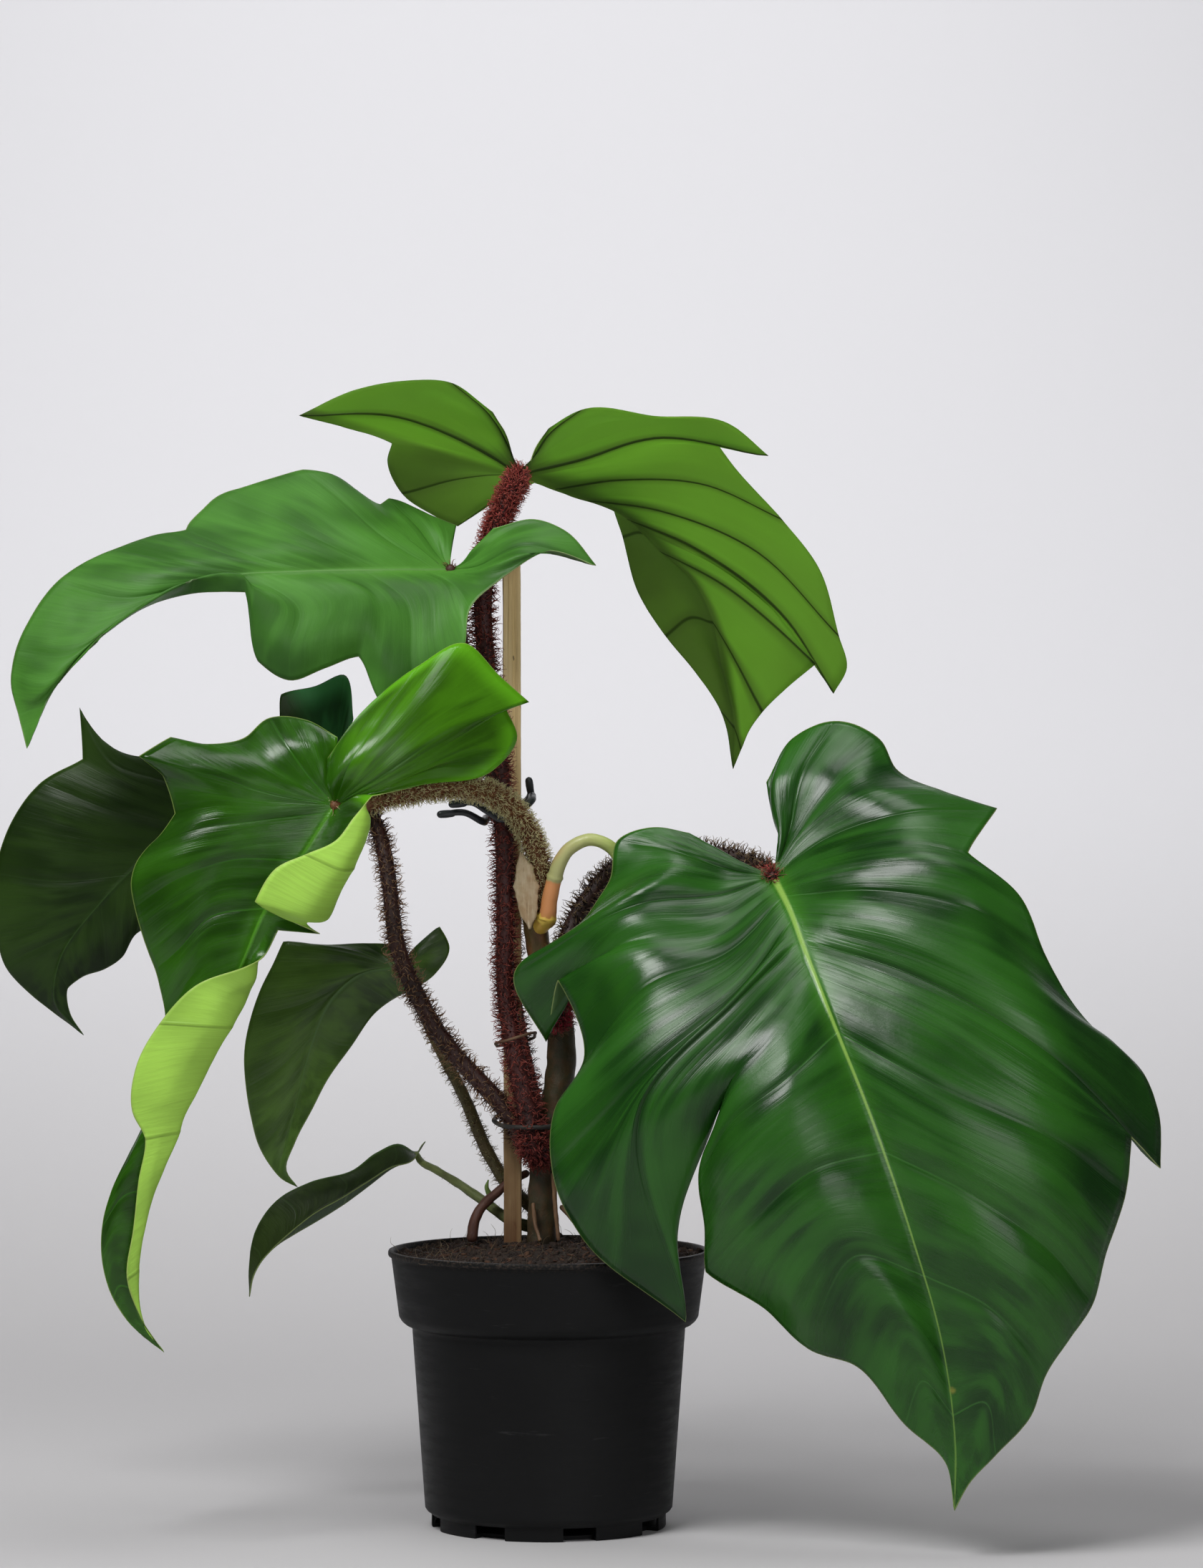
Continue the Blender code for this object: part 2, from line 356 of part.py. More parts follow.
            (0, 0, (-81, 54, 219, -80, 50, 220), .8, (-80, 65, 221, -77, 68, 224)),
            (0, 0, (-83, 52, 216, -84, 46, 214), 0, (-82, 68, 218, -84, 74, 214)),
            (.10, 0, (-94, 50, 216, -97, 44, 210), 0, (-95, 70, 214, -99, 76, 206)),
            (.22, 0, (-108, 50, 208, -110, 44, 202), 0, (-108, 72, 206, -112, 78, 196)),
            (.34, 0, (-124, 48, 198, -126, 43, 192), 0, (-124, 73, 196, -127, 79, 185)),
            (.46, 0, (-140, 48, 190, -142, 43, 183), 0, (-140, 73, 188, -143, 78, 175)),
            (.58, 0, (-155, 50, 182, -156, 45, 172), 0, (-155, 71, 180, -157, 75, 167)),
            (.69, 0, (-168, 52, 170, -167, 48, 162), 0, (-168, 69, 169, -168, 71, 160)),
            (.80, 0, (-177, 53, 156, -176, 51, 152), 0, (-177, 66, 156, -177, 67, 151)),
            (.90, 0, (-181, 55, 143), 0, (-182, 64, 143)),
            (1, 0, (-184, 60, 130), 0, (-184, 60, 130)),
        ],
    },
}
LEAF_FINISH = {
    "leaf_front": (0.030, 0.085, 0.028),
    "leaf_top": (0.13, 0.26, 0.055),
    "leaf_left_upper": (0.045, 0.16, 0.035),
    "leaf_bright": (0.085, 0.22, 0.022),
    "leaf_dark_left": (0.020, 0.050, 0.016),
    "leaf_lower_left": (0.035, 0.080, 0.030),
    "leaf_small": (0.035, 0.075, 0.025),
}


# ---------------------------------------------------------------- helpers
def clear_scene():
    for obj in list(bpy.data.objects):
        bpy.data.objects.remove(obj, do_unlink=True)


def finish(obj, colour, roughness):
    """Give the object its own plain material and smooth shading."""
    material = bpy.data.materials.new(obj.name)
    material.use_nodes = True
    shader = material.node_tree.nodes["Principled BSDF"]
    shader.inputs["Base Color"].default_value = (*colour, 1.0)
    shader.inputs["Roughness"].default_value = roughness
    shader.inputs["Metallic"].default_value = 0.0
    obj.data.materials.append(material)


def mesh_object(name, points, faces, collection=None):
    mesh = bpy.data.meshes.new(name)
    mesh.from_pydata([tuple(p * MM) for p in points], [], faces)
    mesh.validate()
    obj = bpy.data.objects.new(name, mesh)
    (collection or bpy.context.scene.collection).objects.link(obj)
    for polygon in mesh.polygons:
        polygon.use_smooth = True
    return obj


def tidy_mesh(obj, distance):
    """Weld the points where rows of a blade run together, and drop what that flattens."""
    grid = bmesh.new()
    grid.from_mesh(obj.data)
    bmesh.ops.remove_doubles(grid, verts=grid.verts, dist=distance * MM)
    bmesh.ops.dissolve_degenerate(grid, edges=grid.edges, dist=0.5 * distance * MM)
    grid.to_mesh(obj.data)
    grid.free()


def lathe(name, profile):
    """Turn a profile of (radius, height) about Z. It runs down on the outside."""
    points = [Vector((radius, 0.0, height)) for radius, height in profile]
    mesh = bpy.data.meshes.new(name)
    mesh.from_pydata([tuple(p * MM) for p in points], [(i, i + 1) for i in range(len(points) - 1)], [])
    obj = bpy.data.objects.new(name, mesh)
    bpy.context.scene.collection.objects.link(obj)
    screw = obj.modifiers.new("turn", "SCREW")
    screw.axis = "Z"
    screw.steps = POT_STEPS
    screw.render_steps = POT_STEPS
    screw.use_merge_vertices = True
    screw.merge_threshold = 0.00005
    screw.use_smooth_shade = True
    return obj


def box_mesh(name, centre, size, turn, collection):
    """A closed box, turned about Z."""
    half = Vector(size) / 2
    cos, sin = math.cos(turn), math.sin(turn)
    points = []
    for sx in (-1, 1):
        for sy in (-1, 1):
            for sz in (-1, 1):
                x, y = sx * half.x, sy * half.y
                points.append(Vector(centre) + Vector((x * cos - y * sin, x * sin + y * cos, sz * half.z)))
    faces = [(0, 1, 3, 2), (4, 6, 7, 5), (0, 4, 5, 1), (2, 3, 7, 6), (0, 2, 6, 4), (1, 5, 7, 3)]
    return mesh_object(name, points, faces, collection)


def hidden_collection():
    collection = bpy.data.collections.new("cutters")
    bpy.context.scene.collection.children.link(collection)
    collection.hide_render = True
    return collection


def cut(obj, cutter):
    cutter.hide_render = True
    cutter.display_type = "WIRE"
    boolean = obj.modifiers.new("cut " + cutter.name, "BOOLEAN")
    boolean.operation = "DIFFERENCE"
    boolean.solver = "EXACT"
    boolean.object = cutter


def knots_of(points, least=1e-6):
    """Chord lengths between neighbours, kept off zero."""
    return [max((b - a).length, least) for a, b in zip(points, points[1:])]


def tangents(points, steps):
    """Slopes of a smooth curve through points whose parameters are steps apart."""
    slopes = []
    last = len(points) - 1
    for i in range(last + 1):
        before = (points[i] - points[i - 1]) / steps[i - 1] if i > 0 else None
        after = (points[i + 1] - points[i]) / steps[i] if i < last else None
        if before is None:
            slopes.append(after)
        elif after is None:
            slopes.append(before)
        else:
            slopes.append((before * steps[i] + after * steps[i - 1]) / (steps[i] + steps[i - 1]))
    return slopes


def hermite(a, slope_a, b, slope_b, step, u):
    v = 1 - u
    return (a * (v * v * (1 + 2 * u)) + slope_a * (step * u * v * v)
            + b * (u * u * (3 - 2 * u)) - slope_b * (step * u * u * v))


def along(points, share):
    """The point of a smooth curve at a share of its length."""
    if len(points) == 2:
        return points[0].lerp(points[1], share)
    steps = knots_of(points)
    slopes = tangents(points, steps)
    target = share * sum(steps)
    for i, step in enumerate(steps):
        if target <= step or i == len(steps) - 1:
            return hermite(points[i], slopes[i], points[i + 1], slopes[i + 1], step, min(target / step, 1.0))
        target -= step
    return points[-1]


def triplets(numbers):
    return [Vector(numbers[i:i + 3]) for i in range(0, len(numbers), 3)]


def blade_rows(leaf, side, row_counts, columns):
    """Rows of points of one half of a blade. side is 1 for the right half and 3 for the left."""
    midrib = [Vector(p) for p in leaf["midrib"]]
    ribs = []
    for rib in leaf["ribs"]:
        start = along(midrib, rib[0])
        route = [start] + triplets(rib[side + 1])
        ribs.append([along(route, c / columns) for c in range(columns + 1)])
    margins = [rib[-1] for rib in ribs]
    steps = [max(length, 2.0) for length in knots_of(margins)]
    slopes = [tangents([rib[c] for rib in ribs], steps) for c in range(columns + 1)]
    rows = []
    for i, count in enumerate(row_counts):
        for k in range(count if i < len(row_counts) - 1 else count + 1):
            u = k / count
            here = leaf["ribs"][i][0] * (1 - u) + leaf["ribs"][i + 1][0] * u
            row = []
            for c in range(columns + 1):
                share = c / columns
                sharp = max(0.0, min(1.0, (share - 0.5) / 0.45))
                sharp = sharp * sharp * (3 - 2 * sharp)
                straight = (ribs[i + 1][c] - ribs[i][c]) / steps[i]
                leaving = slopes[c][i].lerp(straight, leaf["ribs"][i][side] * sharp)
                arriving = slopes[c][i + 1].lerp(straight, leaf["ribs"][i + 1][side] * sharp)
                row.append(hermite(ribs[i][c], leaving, ribs[i + 1][c], arriving, steps[i], u))
            slip = along(midrib, here) - row[0]
            rows.append([p + slip * (1 - c / columns) ** 2 for c, p in enumerate(row)])
    return rows


def row_counts_of(leaf, spacing):
    """How many rows to put between neighbouring ribs, from the longer of the two margins."""
    counts = []
    for one, other in zip(leaf["ribs"], leaf["ribs"][1:]):
        gaps = [(triplets(other[k])[-1] - triplets(one[k])[-1]).length for k in (2, 4)]
        counts.append(max(1, round(max(gaps) / spacing)))
    return counts


def make_leaf(name, leaf, shift):
    counts = row_counts_of(leaf, BLADE_ROW)
    points = []
    faces = []
    for side in (1, 3):
        rows = blade_rows(leaf, side, counts, BLADE_COLUMNS)
        first = len(points)
        width = BLADE_COLUMNS + 1
        for row in rows:
            points.extend(p + shift for p in row)
        for r in range(len(rows) - 1):
            for c in range(BLADE_COLUMNS):
                a = first + r * width + c
                quad = (a, a + width, a + width + 1, a + 1)
                faces.append(quad if side == 1 else quad[::-1])
    obj = mesh_object(name, points, faces)
    tidy_mesh(obj, 0.05)
    solid = obj.modifiers.new("thickness", "SOLIDIFY")
    solid.thickness = BLADE_THICKNESS * MM
    solid.offset = 0.0
    solid.use_rim = True
    finish(obj, LEAF_FINISH[name], 0.35)
    return obj


def tube(name, route, closed=False):
    """A round rod along a smooth curve through (x, y, z, radius) points above the datum."""
    stations = [Vector(p[:3]) for p in route]
    radii = [p[3] for p in route]
    if closed:
        stations.append(stations[0])
        radii.append(radii[0])
    steps = knots_of(stations)
    slopes = tangents(stations, steps)
    if closed:
        slopes[0] = slopes[-1] = (slopes[0] + slopes[-1]) / 2
    points = []
    for i, step in enumerate(steps):
        pieces = max(2, round(step / 9.0))
        for k in range(pieces):
            u = k / pieces
            place = hermite(stations[i], slopes[i], stations[i + 1], slopes[i + 1], step, u)
            points.append((place, radii[i] * (1 - u) + radii[i + 1] * u))
    if not closed:
        points.append((stations[-1], radii[-1]))
    curve = bpy.data.curves.new(name, "CURVE")
    curve.dimensions = "3D"
    curve.bevel_mode = "ROUND"
    curve.bevel_depth = MM
    curve.bevel_resolution = 2 if max(radii) > 2.5 else 1
    curve.use_fill_caps = not closed
    spline = curve.splines.new("POLY")
    spline.points.add(len(points) - 1)
    for target, (place, radius) in zip(spline.points, points):
        target.co = (*((place + DATUM) * MM), 1.0)
        target.radius = radius
    spline.use_cyclic_u = closed
    spline.use_smooth = True
    obj = bpy.data.objects.new(name, curve)
    bpy.context.scene.collection.objects.link(obj)
    return obj


# ---------------------------------------------------------------- the pieces
def make_pot(cutters):
    band_foot = POT_HEIGHT - BAND_HEIGHT
    inner_lip = BAND_TOP_RADIUS - POT_WALL
    profile = [
        (0, POT_FLOOR),
        (FOOT_RADIUS - POT_WALL, POT_FLOOR),
        (FOOT_RADIUS - POT_WALL, FOOT_HEIGHT),
        (BODY_FOOT_RADIUS - POT_WALL, FOOT_HEIGHT + 4.5),
        (BODY_TOP_RADIUS - POT_WALL, band_foot - 6.0),
        (BAND_FOOT_RADIUS - POT_WALL - 2.2, band_foot - 3.2),
        (BAND_FOOT_RADIUS - POT_WALL, band_foot + 1.0),
        (inner_lip, POT_HEIGHT - LIP_HEIGHT),
        (inner_lip + 0.5, POT_HEIGHT - 0.7),
        (inner_lip + 1.3, POT_HEIGHT),
        (LIP_RADIUS - 1.2, POT_HEIGHT),
        (LIP_RADIUS, POT_HEIGHT - 1.2),
        (LIP_RADIUS, POT_HEIGHT - LIP_HEIGHT + 0.7),
        (LIP_RADIUS - 0.7, POT_HEIGHT - LIP_HEIGHT),
        (BAND_TOP_RADIUS, POT_HEIGHT - LIP_HEIGHT - 0.6),
        (BAND_FOOT_RADIUS, band_foot),
        (BAND_FOOT_RADIUS - 1.2, band_foot - 3.6),
        (BAND_FOOT_RADIUS - 4.0, band_foot - 5.6),
        (BODY_TOP_RADIUS, band_foot - 6.4),
        (BODY_FOOT_RADIUS, FOOT_HEIGHT + 3.0),
        (BODY_FOOT_RADIUS - 1.2, FOOT_HEIGHT + 1.0),
        (FOOT_RADIUS, FOOT_HEIGHT - 1.0),
        (FOOT_RADIUS, 0.8),
        (FOOT_RADIUS - 0.8, 0),
        (0, 0),
    ]
    pot = lathe("nursery_pot", profile)
    for i in range(SLOT_COUNT):
        turn = 2 * math.pi * (i + 0.35) / SLOT_COUNT
        reach = FOOT_RADIUS - SLOT_DEPTH / 2 + 2.5
        centre = (reach * math.cos(turn), reach * math.sin(turn), SLOT_HEIGHT / 2 - 2.0)
        size = (SLOT_DEPTH + 5.0, SLOT_WIDTH, SLOT_HEIGHT + 4.0)
        cut(pot, box_mesh("slot_%d" % i, centre, size, turn, cutters))
    finish(pot, (0.016, 0.017, 0.018), 0.5)


def make_soil(cutters):
    """The root ball: it fills the pot with a small clearance and is mounded round the stem."""
    band_foot = POT_HEIGHT - BAND_HEIGHT
    clear = POT_WALL + SOIL_FIT
    edge = POT_HEIGHT - SOIL_DROP
    edge_radius = BAND_TOP_RADIUS - clear
    profile = [
        (0, edge + SOIL_MOUND),
        (0.35 * edge_radius, edge + 0.9 * SOIL_MOUND),
        (0.62 * edge_radius, edge + 0.62 * SOIL_MOUND),
        (0.86 * edge_radius, edge + 0.2 * SOIL_MOUND),
        (edge_radius - 1.0, edge),
        (BAND_FOOT_RADIUS - clear, band_foot + 1.5),
        (BAND_FOOT_RADIUS - clear - 2.6, band_foot - 2.6),
        (BODY_TOP_RADIUS - clear, band_foot - 5.6),
        (BODY_FOOT_RADIUS - clear, FOOT_HEIGHT + 5.0),
        (FOOT_RADIUS - clear, FOOT_HEIGHT + 1.6),
        (0, FOOT_HEIGHT + 1.6),
    ]
    soil = lathe("potting_soil", profile)
    top = edge + SOIL_MOUND + 20.0
    low = POT_HEIGHT - STAKE_BURIED - 2.0
    hole = STAKE_WIDTH + 2 * SOCKET_FIT
    centre = (*STAKE_AT, (top + low) / 2)
    cut(soil, box_mesh("stake_hole", centre, (hole, hole, top - low), 0.0, cutters))
    foot = MAIN_STEM[0]
    low = POT_HEIGHT + foot[2] - 2.0
    wide = 2 * (max(foot[3], MAIN_STEM[1][3]) + SOCKET_FIT)
    stem_hole = box_mesh("stem_hole", (foot[0], foot[1], (top + low) / 2), (wide, wide, top - low), 0.0, cutters)
    cut(soil, stem_hole)
    finish(soil, (0.045, 0.022, 0.012), 0.95)


def make_stake():
    """A split square stake, leaning a little to the left on its way up."""
    half = STAKE_WIDTH / 2
    points = []
    rings = [(-STAKE_BURIED, 0.35), (-STAKE_BURIED + 18.0, 1.0), (0.0, 1.0), (0.5 * STAKE_TOP, 1.0),
             (STAKE_TOP - 1.5, 1.0), (STAKE_TOP, 0.86)]
    for height, size in rings:
        lean = STAKE_TOP_LEAN * max(0.0, height) / STAKE_TOP
        for sx, sy in ((-1, -1), (1, -1), (1, 1), (-1, 1)):
            corner = Vector((STAKE_AT[0] + lean + sx * half * size, STAKE_AT[1] + sy * half * size, height))
            points.append(corner + DATUM)
    faces = [(3, 2, 1, 0)]
    for ring in range(len(rings) - 1):
        for k in range(4):
            a = 4 * ring + k
            b = 4 * ring + (k + 1) % 4
            faces.append((a, b, b + 4, a + 4))
    top = 4 * (len(rings) - 1)
    faces.append((top, top + 1, top + 2, top + 3))
    stake = mesh_object("stake", points, faces)
    for polygon in stake.data.polygons:
        polygon.use_smooth = False
    edge = stake.modifiers.new("worn edges", "BEVEL")
    edge.width = 0.8 * MM
    edge.segments = 1
    edge.limit_method = "ANGLE"
    finish(stake, (0.42, 0.27, 0.14), 0.8)


def make_sheath():
    """The dried, papery bract at the foot of the newest petiole, a thin curved lens."""
    across = 6
    points = []
    faces = []
    for height, middle, half, bow in SHEATH:
        for k in range(across + 1):
            u = 2 * k / across - 1
            points.append(Vector((middle + half * u, SHEATH_Y + bow * u * u, height)) + DATUM)
    for r in range(len(SHEATH) - 1):
        for k in range(across):
            a = r * (across + 1) + k
            faces.append((a, a + 1, a + across + 2, a + across + 1))
    sheath = mesh_object("dried_sheath", points, faces)
    solid = sheath.modifiers.new("thickness", "SOLIDIFY")
    solid.thickness = SHEATH_THICKNESS * MM
    solid.offset = 0.0
    finish(sheath, (0.40, 0.29, 0.17), 0.85)


def main():
    clear_scene()
    cutters = hidden_collection()
    make_pot(cutters)
    make_soil(cutters)
    make_stake()
    stem = [(x, y, -STEM_BURIED if k == 0 else z, radius) for k, (x, y, z, radius) in enumerate(MAIN_STEM)]
    finish(tube("main_stem", stem), (0.12, 0.09, 0.035), 0.7)
    for name, route in ROUTES.items():
        finish(tube(name, route), *ROUTE_FINISH[name])
    for name, route in CLOSED_ROUTES.items():
        finish(tube(name, route, closed=True), *ROUTE_FINISH[name])
    make_sheath()
    for name, leaf in LEAVES.items():
        end = Vector(ROUTES[leaf["joins"]][-1][:3]) + DATUM
        make_leaf(name, leaf, end + Vector(leaf["gap"]) - Vector(leaf["midrib"][0]))


main()
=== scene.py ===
"""Potted philodendron: lobed leaves on hairy petioles, tied to a stake in a nursery pot.

The tables are in millimetres and the scene is in metres: +Z is up, +X to the right, +Y to the
back, and the origin is the centre of the pot's flat underside.
"""

import json
import math

import bmesh
import bpy
from mathutils import Euler, Matrix, Vector
from mathutils import noise as hills

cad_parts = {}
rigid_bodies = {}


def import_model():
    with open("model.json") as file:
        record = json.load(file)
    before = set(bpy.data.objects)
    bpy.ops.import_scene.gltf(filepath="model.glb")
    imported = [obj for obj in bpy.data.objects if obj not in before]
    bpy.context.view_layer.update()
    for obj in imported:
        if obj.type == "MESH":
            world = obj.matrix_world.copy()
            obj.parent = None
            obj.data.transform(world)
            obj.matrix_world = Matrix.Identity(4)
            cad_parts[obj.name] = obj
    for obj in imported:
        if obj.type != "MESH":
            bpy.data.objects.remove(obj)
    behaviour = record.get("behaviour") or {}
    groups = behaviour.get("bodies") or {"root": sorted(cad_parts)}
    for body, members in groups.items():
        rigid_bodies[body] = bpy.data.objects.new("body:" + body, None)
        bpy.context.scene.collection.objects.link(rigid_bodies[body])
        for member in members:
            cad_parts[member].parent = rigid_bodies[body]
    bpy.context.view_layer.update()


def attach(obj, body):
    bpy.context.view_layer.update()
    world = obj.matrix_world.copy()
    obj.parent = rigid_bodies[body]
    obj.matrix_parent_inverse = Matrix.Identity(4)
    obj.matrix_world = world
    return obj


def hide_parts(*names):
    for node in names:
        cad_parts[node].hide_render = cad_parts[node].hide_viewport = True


for left_over in list(bpy.data.objects):
    bpy.data.objects.remove(left_over, do_unlink=True)
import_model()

MM = 0.001

# ---------------------------------------------------------------- sizes, in millimetres
POT_HEIGHT = 165.0
LIP_RADIUS = 96.0
LIP_HEIGHT = 3.6
BAND_TOP_RADIUS = 94.0
BAND_FOOT_RADIUS = 89.5
BAND_HEIGHT = 40.0
BODY_TOP_RADIUS = 81.5
BODY_FOOT_RADIUS = 74.0
FOOT_RADIUS = 70.0
FOOT_HEIGHT = 9.0
POT_WALL = 1.6
POT_FLOOR = 2.4
SLOT_COUNT = 8
SLOT_WIDTH = 20.0
SLOT_HEIGHT = 8.0
SLOT_DEPTH = 9.0
SOIL_FIT = 0.6
SOIL_DROP = 3.5
SOIL_MOUND = 7.5
STAKE_WIDTH = 11.0
STAKE_TOP = 430.0
STAKE_BURIED = 120.0
STAKE_AT = (-21.5, 2.0)
STAKE_TOP_LEAN = -0.8
BLADE_THICKNESS = 0.6
BRACT_THICKNESS = 0.35
FIRST_SLOT = 0.35  # where the first drain slot lies, as a share of the way to the next
OTHER_HALF = 40  # added to the vein numbers on a blade's left half, so that the halves differ
DATUM = Vector((0.0, 0.0, POT_HEIGHT))

# ---------------------------------------------------------------- stems, roots and ties
# Each route is (x, y, height above the datum, radius).
MAIN_STEM = [
    (-4, -8, -60, 8.0), (-4, -8, 11, 8.5), (-3, -8, 45, 8.5), (1, -9, 74, 8.8), (7, -10, 104, 8.8),
    (7, -10, 130, 8.4), (0, -10, 154, 8.0), (-6, -10, 180, 7.4), (-9, -10, 201, 7.0),
]
ROUTES = {
    "petiole_top": [
        (-8, -24, 62, 7.0), (-12, -24, 84, 6.2), (-20, -21, 118, 5.6), (-25, -16, 150, 5.4),
        (-26, -15, 200, 5.2), (-27, -15, 255, 5.2), (-30, -15, 300, 5.2), (-37, -15, 350, 5.2),
        (-39, -15, STAKE_TOP - 45, 5.2), (-36, -15, STAKE_TOP - 15, 5.2), (-29, -14, STAKE_TOP + 7, 5.4),
        (-20, -9.5, STAKE_TOP + 27.5, 5.0),
    ],
    "petiole_left_upper": [
        (-5, 10, 72, 5.0), (-13, 15, 104, 4.6), (-21, 18, 150, 4.4), (-23, 18, 200, 4.4),
        (-24, 18, 240, 4.4), (-33, 16, 278, 4.4), (-44, 6, 318, 4.4), (-52, -2, 360, 4.4),
        (-57, -6, 398, 4.4),
    ],
    "petiole_bright": [
        (-8, -12.5, 209, 6.0), (-5, -17, 223, 5.8), (-8, -24, 240, 5.4), (-15, -34, 256, 5.2),
        (-26, -46, 268, 5.2), (-42, -60, 275, 5.2), (-62, -76, 276, 5.0), (-84, -90, 272, 4.8),
        (-104, -101, 267, 4.4), (-115, -106, 263, 4.0),
    ],
    "petiole_dark_left": [
        (-15, -14, 64, 5.4), (-20, -14, 75, 5.4), (-29, -14, 88, 5.2), (-44, -12, 104, 5.2),
        (-57, -10, 118, 5.0), (-76, -6, 147, 5.0), (-91, -2, 184, 4.8), (-95, 3, 214, 4.6),
        (-99, 12, 237, 4.6), (-106, 23, 257, 4.4), (-117, 27, 272, 4.2), (-128, 17, 279.5, 4.0),
    ],
    "petiole_lower_left": [
        (-8, 16, 22, 4.2), (-22, 23, 33, 4.0), (-36, 26, 54, 3.8), (-51, 31, 88, 3.6),
        (-68, 44, 120, 3.4), (-80, 64, 143, 3.2), (-89, 75, 156, 3.0), (-93, 72, 162, 3.0),
    ],
    "petiole_small": [
        (-8, 14, 11, 3.8), (-22, 18, 15, 3.5), (-40, 24, 27, 3.0), (-56, 34, 37, 2.6),
        (-69, 44, 44, 2.3), (-79, 54, 49, 2.0),
    ],
    "petiole_front": [
        (5, -26, 143, 6.0), (5, -24, 160, 5.6), (11, -20, 186, 5.2), (23, -15, 209, 5.0),
        (40, -11, 228, 5.0), (62, -7, 236, 5.0), (92, -8, 237, 4.8), (117, -22, 232, 4.6),
        (130, -45, 225, 4.4), (132, -54, 222, 4.2),
    ],
    "arched_root": [
        (-1, -20, 199, 5.2), (1, -24, 211, 4.8), (5, -29, 227, 4.4), (13, -31, 240, 4.0),
        (24, -32, 245, 3.8), (35, -32, 242, 3.8), (43, -32, 233, 3.8), (48, -32, 216, 3.7),
        (52, -32, 196, 3.2),
    ],
    "soil_root_left": [
        (-14, 12.5, 44, 2.4), (-24, 13.5, 39, 2.6), (-31, 11, 33, 2.8), (-38, 8, 27, 3.0),
        (-44, 4, 18, 3.2), (-46, 2, 7, 3.4),
    ],
    "soil_root_front": [(3, -19.5, 46, 1.5), (4, -22, 28, 1.4), (6, -27, 8, 1.2)],
    "soil_root_middle": [(-9, -19.5, 28, 1.3), (-8, -23, 18, 1.2), (-5, -29, 8, 1.1)],
    "soil_root_right": [(8, -13, 26, 1.5), (16, -17, 17, 1.4), (22, -22, 7, 1.2)],
    "side_bud": [(-36, 16, 31.5, 1.8), (-37.5, 14, 36, 1.3), (-36.5, 13, 40, 0.5)],
    "clip_jaw_front": [
        (-57, -26, 266, 1.6), (-45, -26, 267, 1.8), (-36, -26, 262, 2.0), (-27, -26, 257, 2.0),
        (-17, -23, 262, 2.0), (-10.5, -14, 268, 2.0), (-10, -3, 270, 2.0), (-10, 5, 271, 1.6),
    ],
    "clip_jaw_back": [
        (-64, -22, 260, 1.6), (-50, -20, 261, 1.8), (-40, -14, 256, 2.0), (-38, 0, 256, 2.0),
        (-38, 14, 257, 2.0), (-36, 22, 258, 2.0), (-28, 27, 260, 2.0), (-17, 23, 265, 2.0),
        (-11, 13, 272, 2.0), (-12, 9, 280, 1.6),
    ],
}
CLOSED_ROUTES = {
    "twist_tie": [
        (-31, -4, 122, 0.9), (-31, -18, 124, 0.9), (-25, -28, 126, 0.9), (-15, -27, 129, 0.9),
        (-8.5, -14, 130, 0.9), (-8.5, 4, 128, 0.9), (-10, 18, 125, 0.9), (-18, 24, 122, 0.9),
        (-28, 18, 121, 0.9), (-31, 7, 121, 0.9),
    ],
    "lower_tie": [
        (-32, 1, 78, 1.4), (-32, -13, 77, 1.4), (-26, -24, 75, 1.4), (-15, -33, 75, 1.4),
        (-4, -33, 75, 1.4), (8, -23, 76, 1.4), (14, -10, 77, 1.4), (13, 6, 79, 1.4),
        (5, 17, 80, 1.4), (-8, 21, 80, 1.4), (-21, 18, 80, 1.4), (-30, 11, 79, 1.4),
    ],
}

# The papery sheath: (height above the datum, middle x, half width, how far it bows to the front)
SHEATH = [(192, -11, 0.8, 1.0), (203, -12, 5.6, 2.0), (216, -13, 7.0, 2.4), (228, -14, 5.2, 2.0),
          (238, -16, 0.8, 1.0)]
SHEATH_Y = -27.5

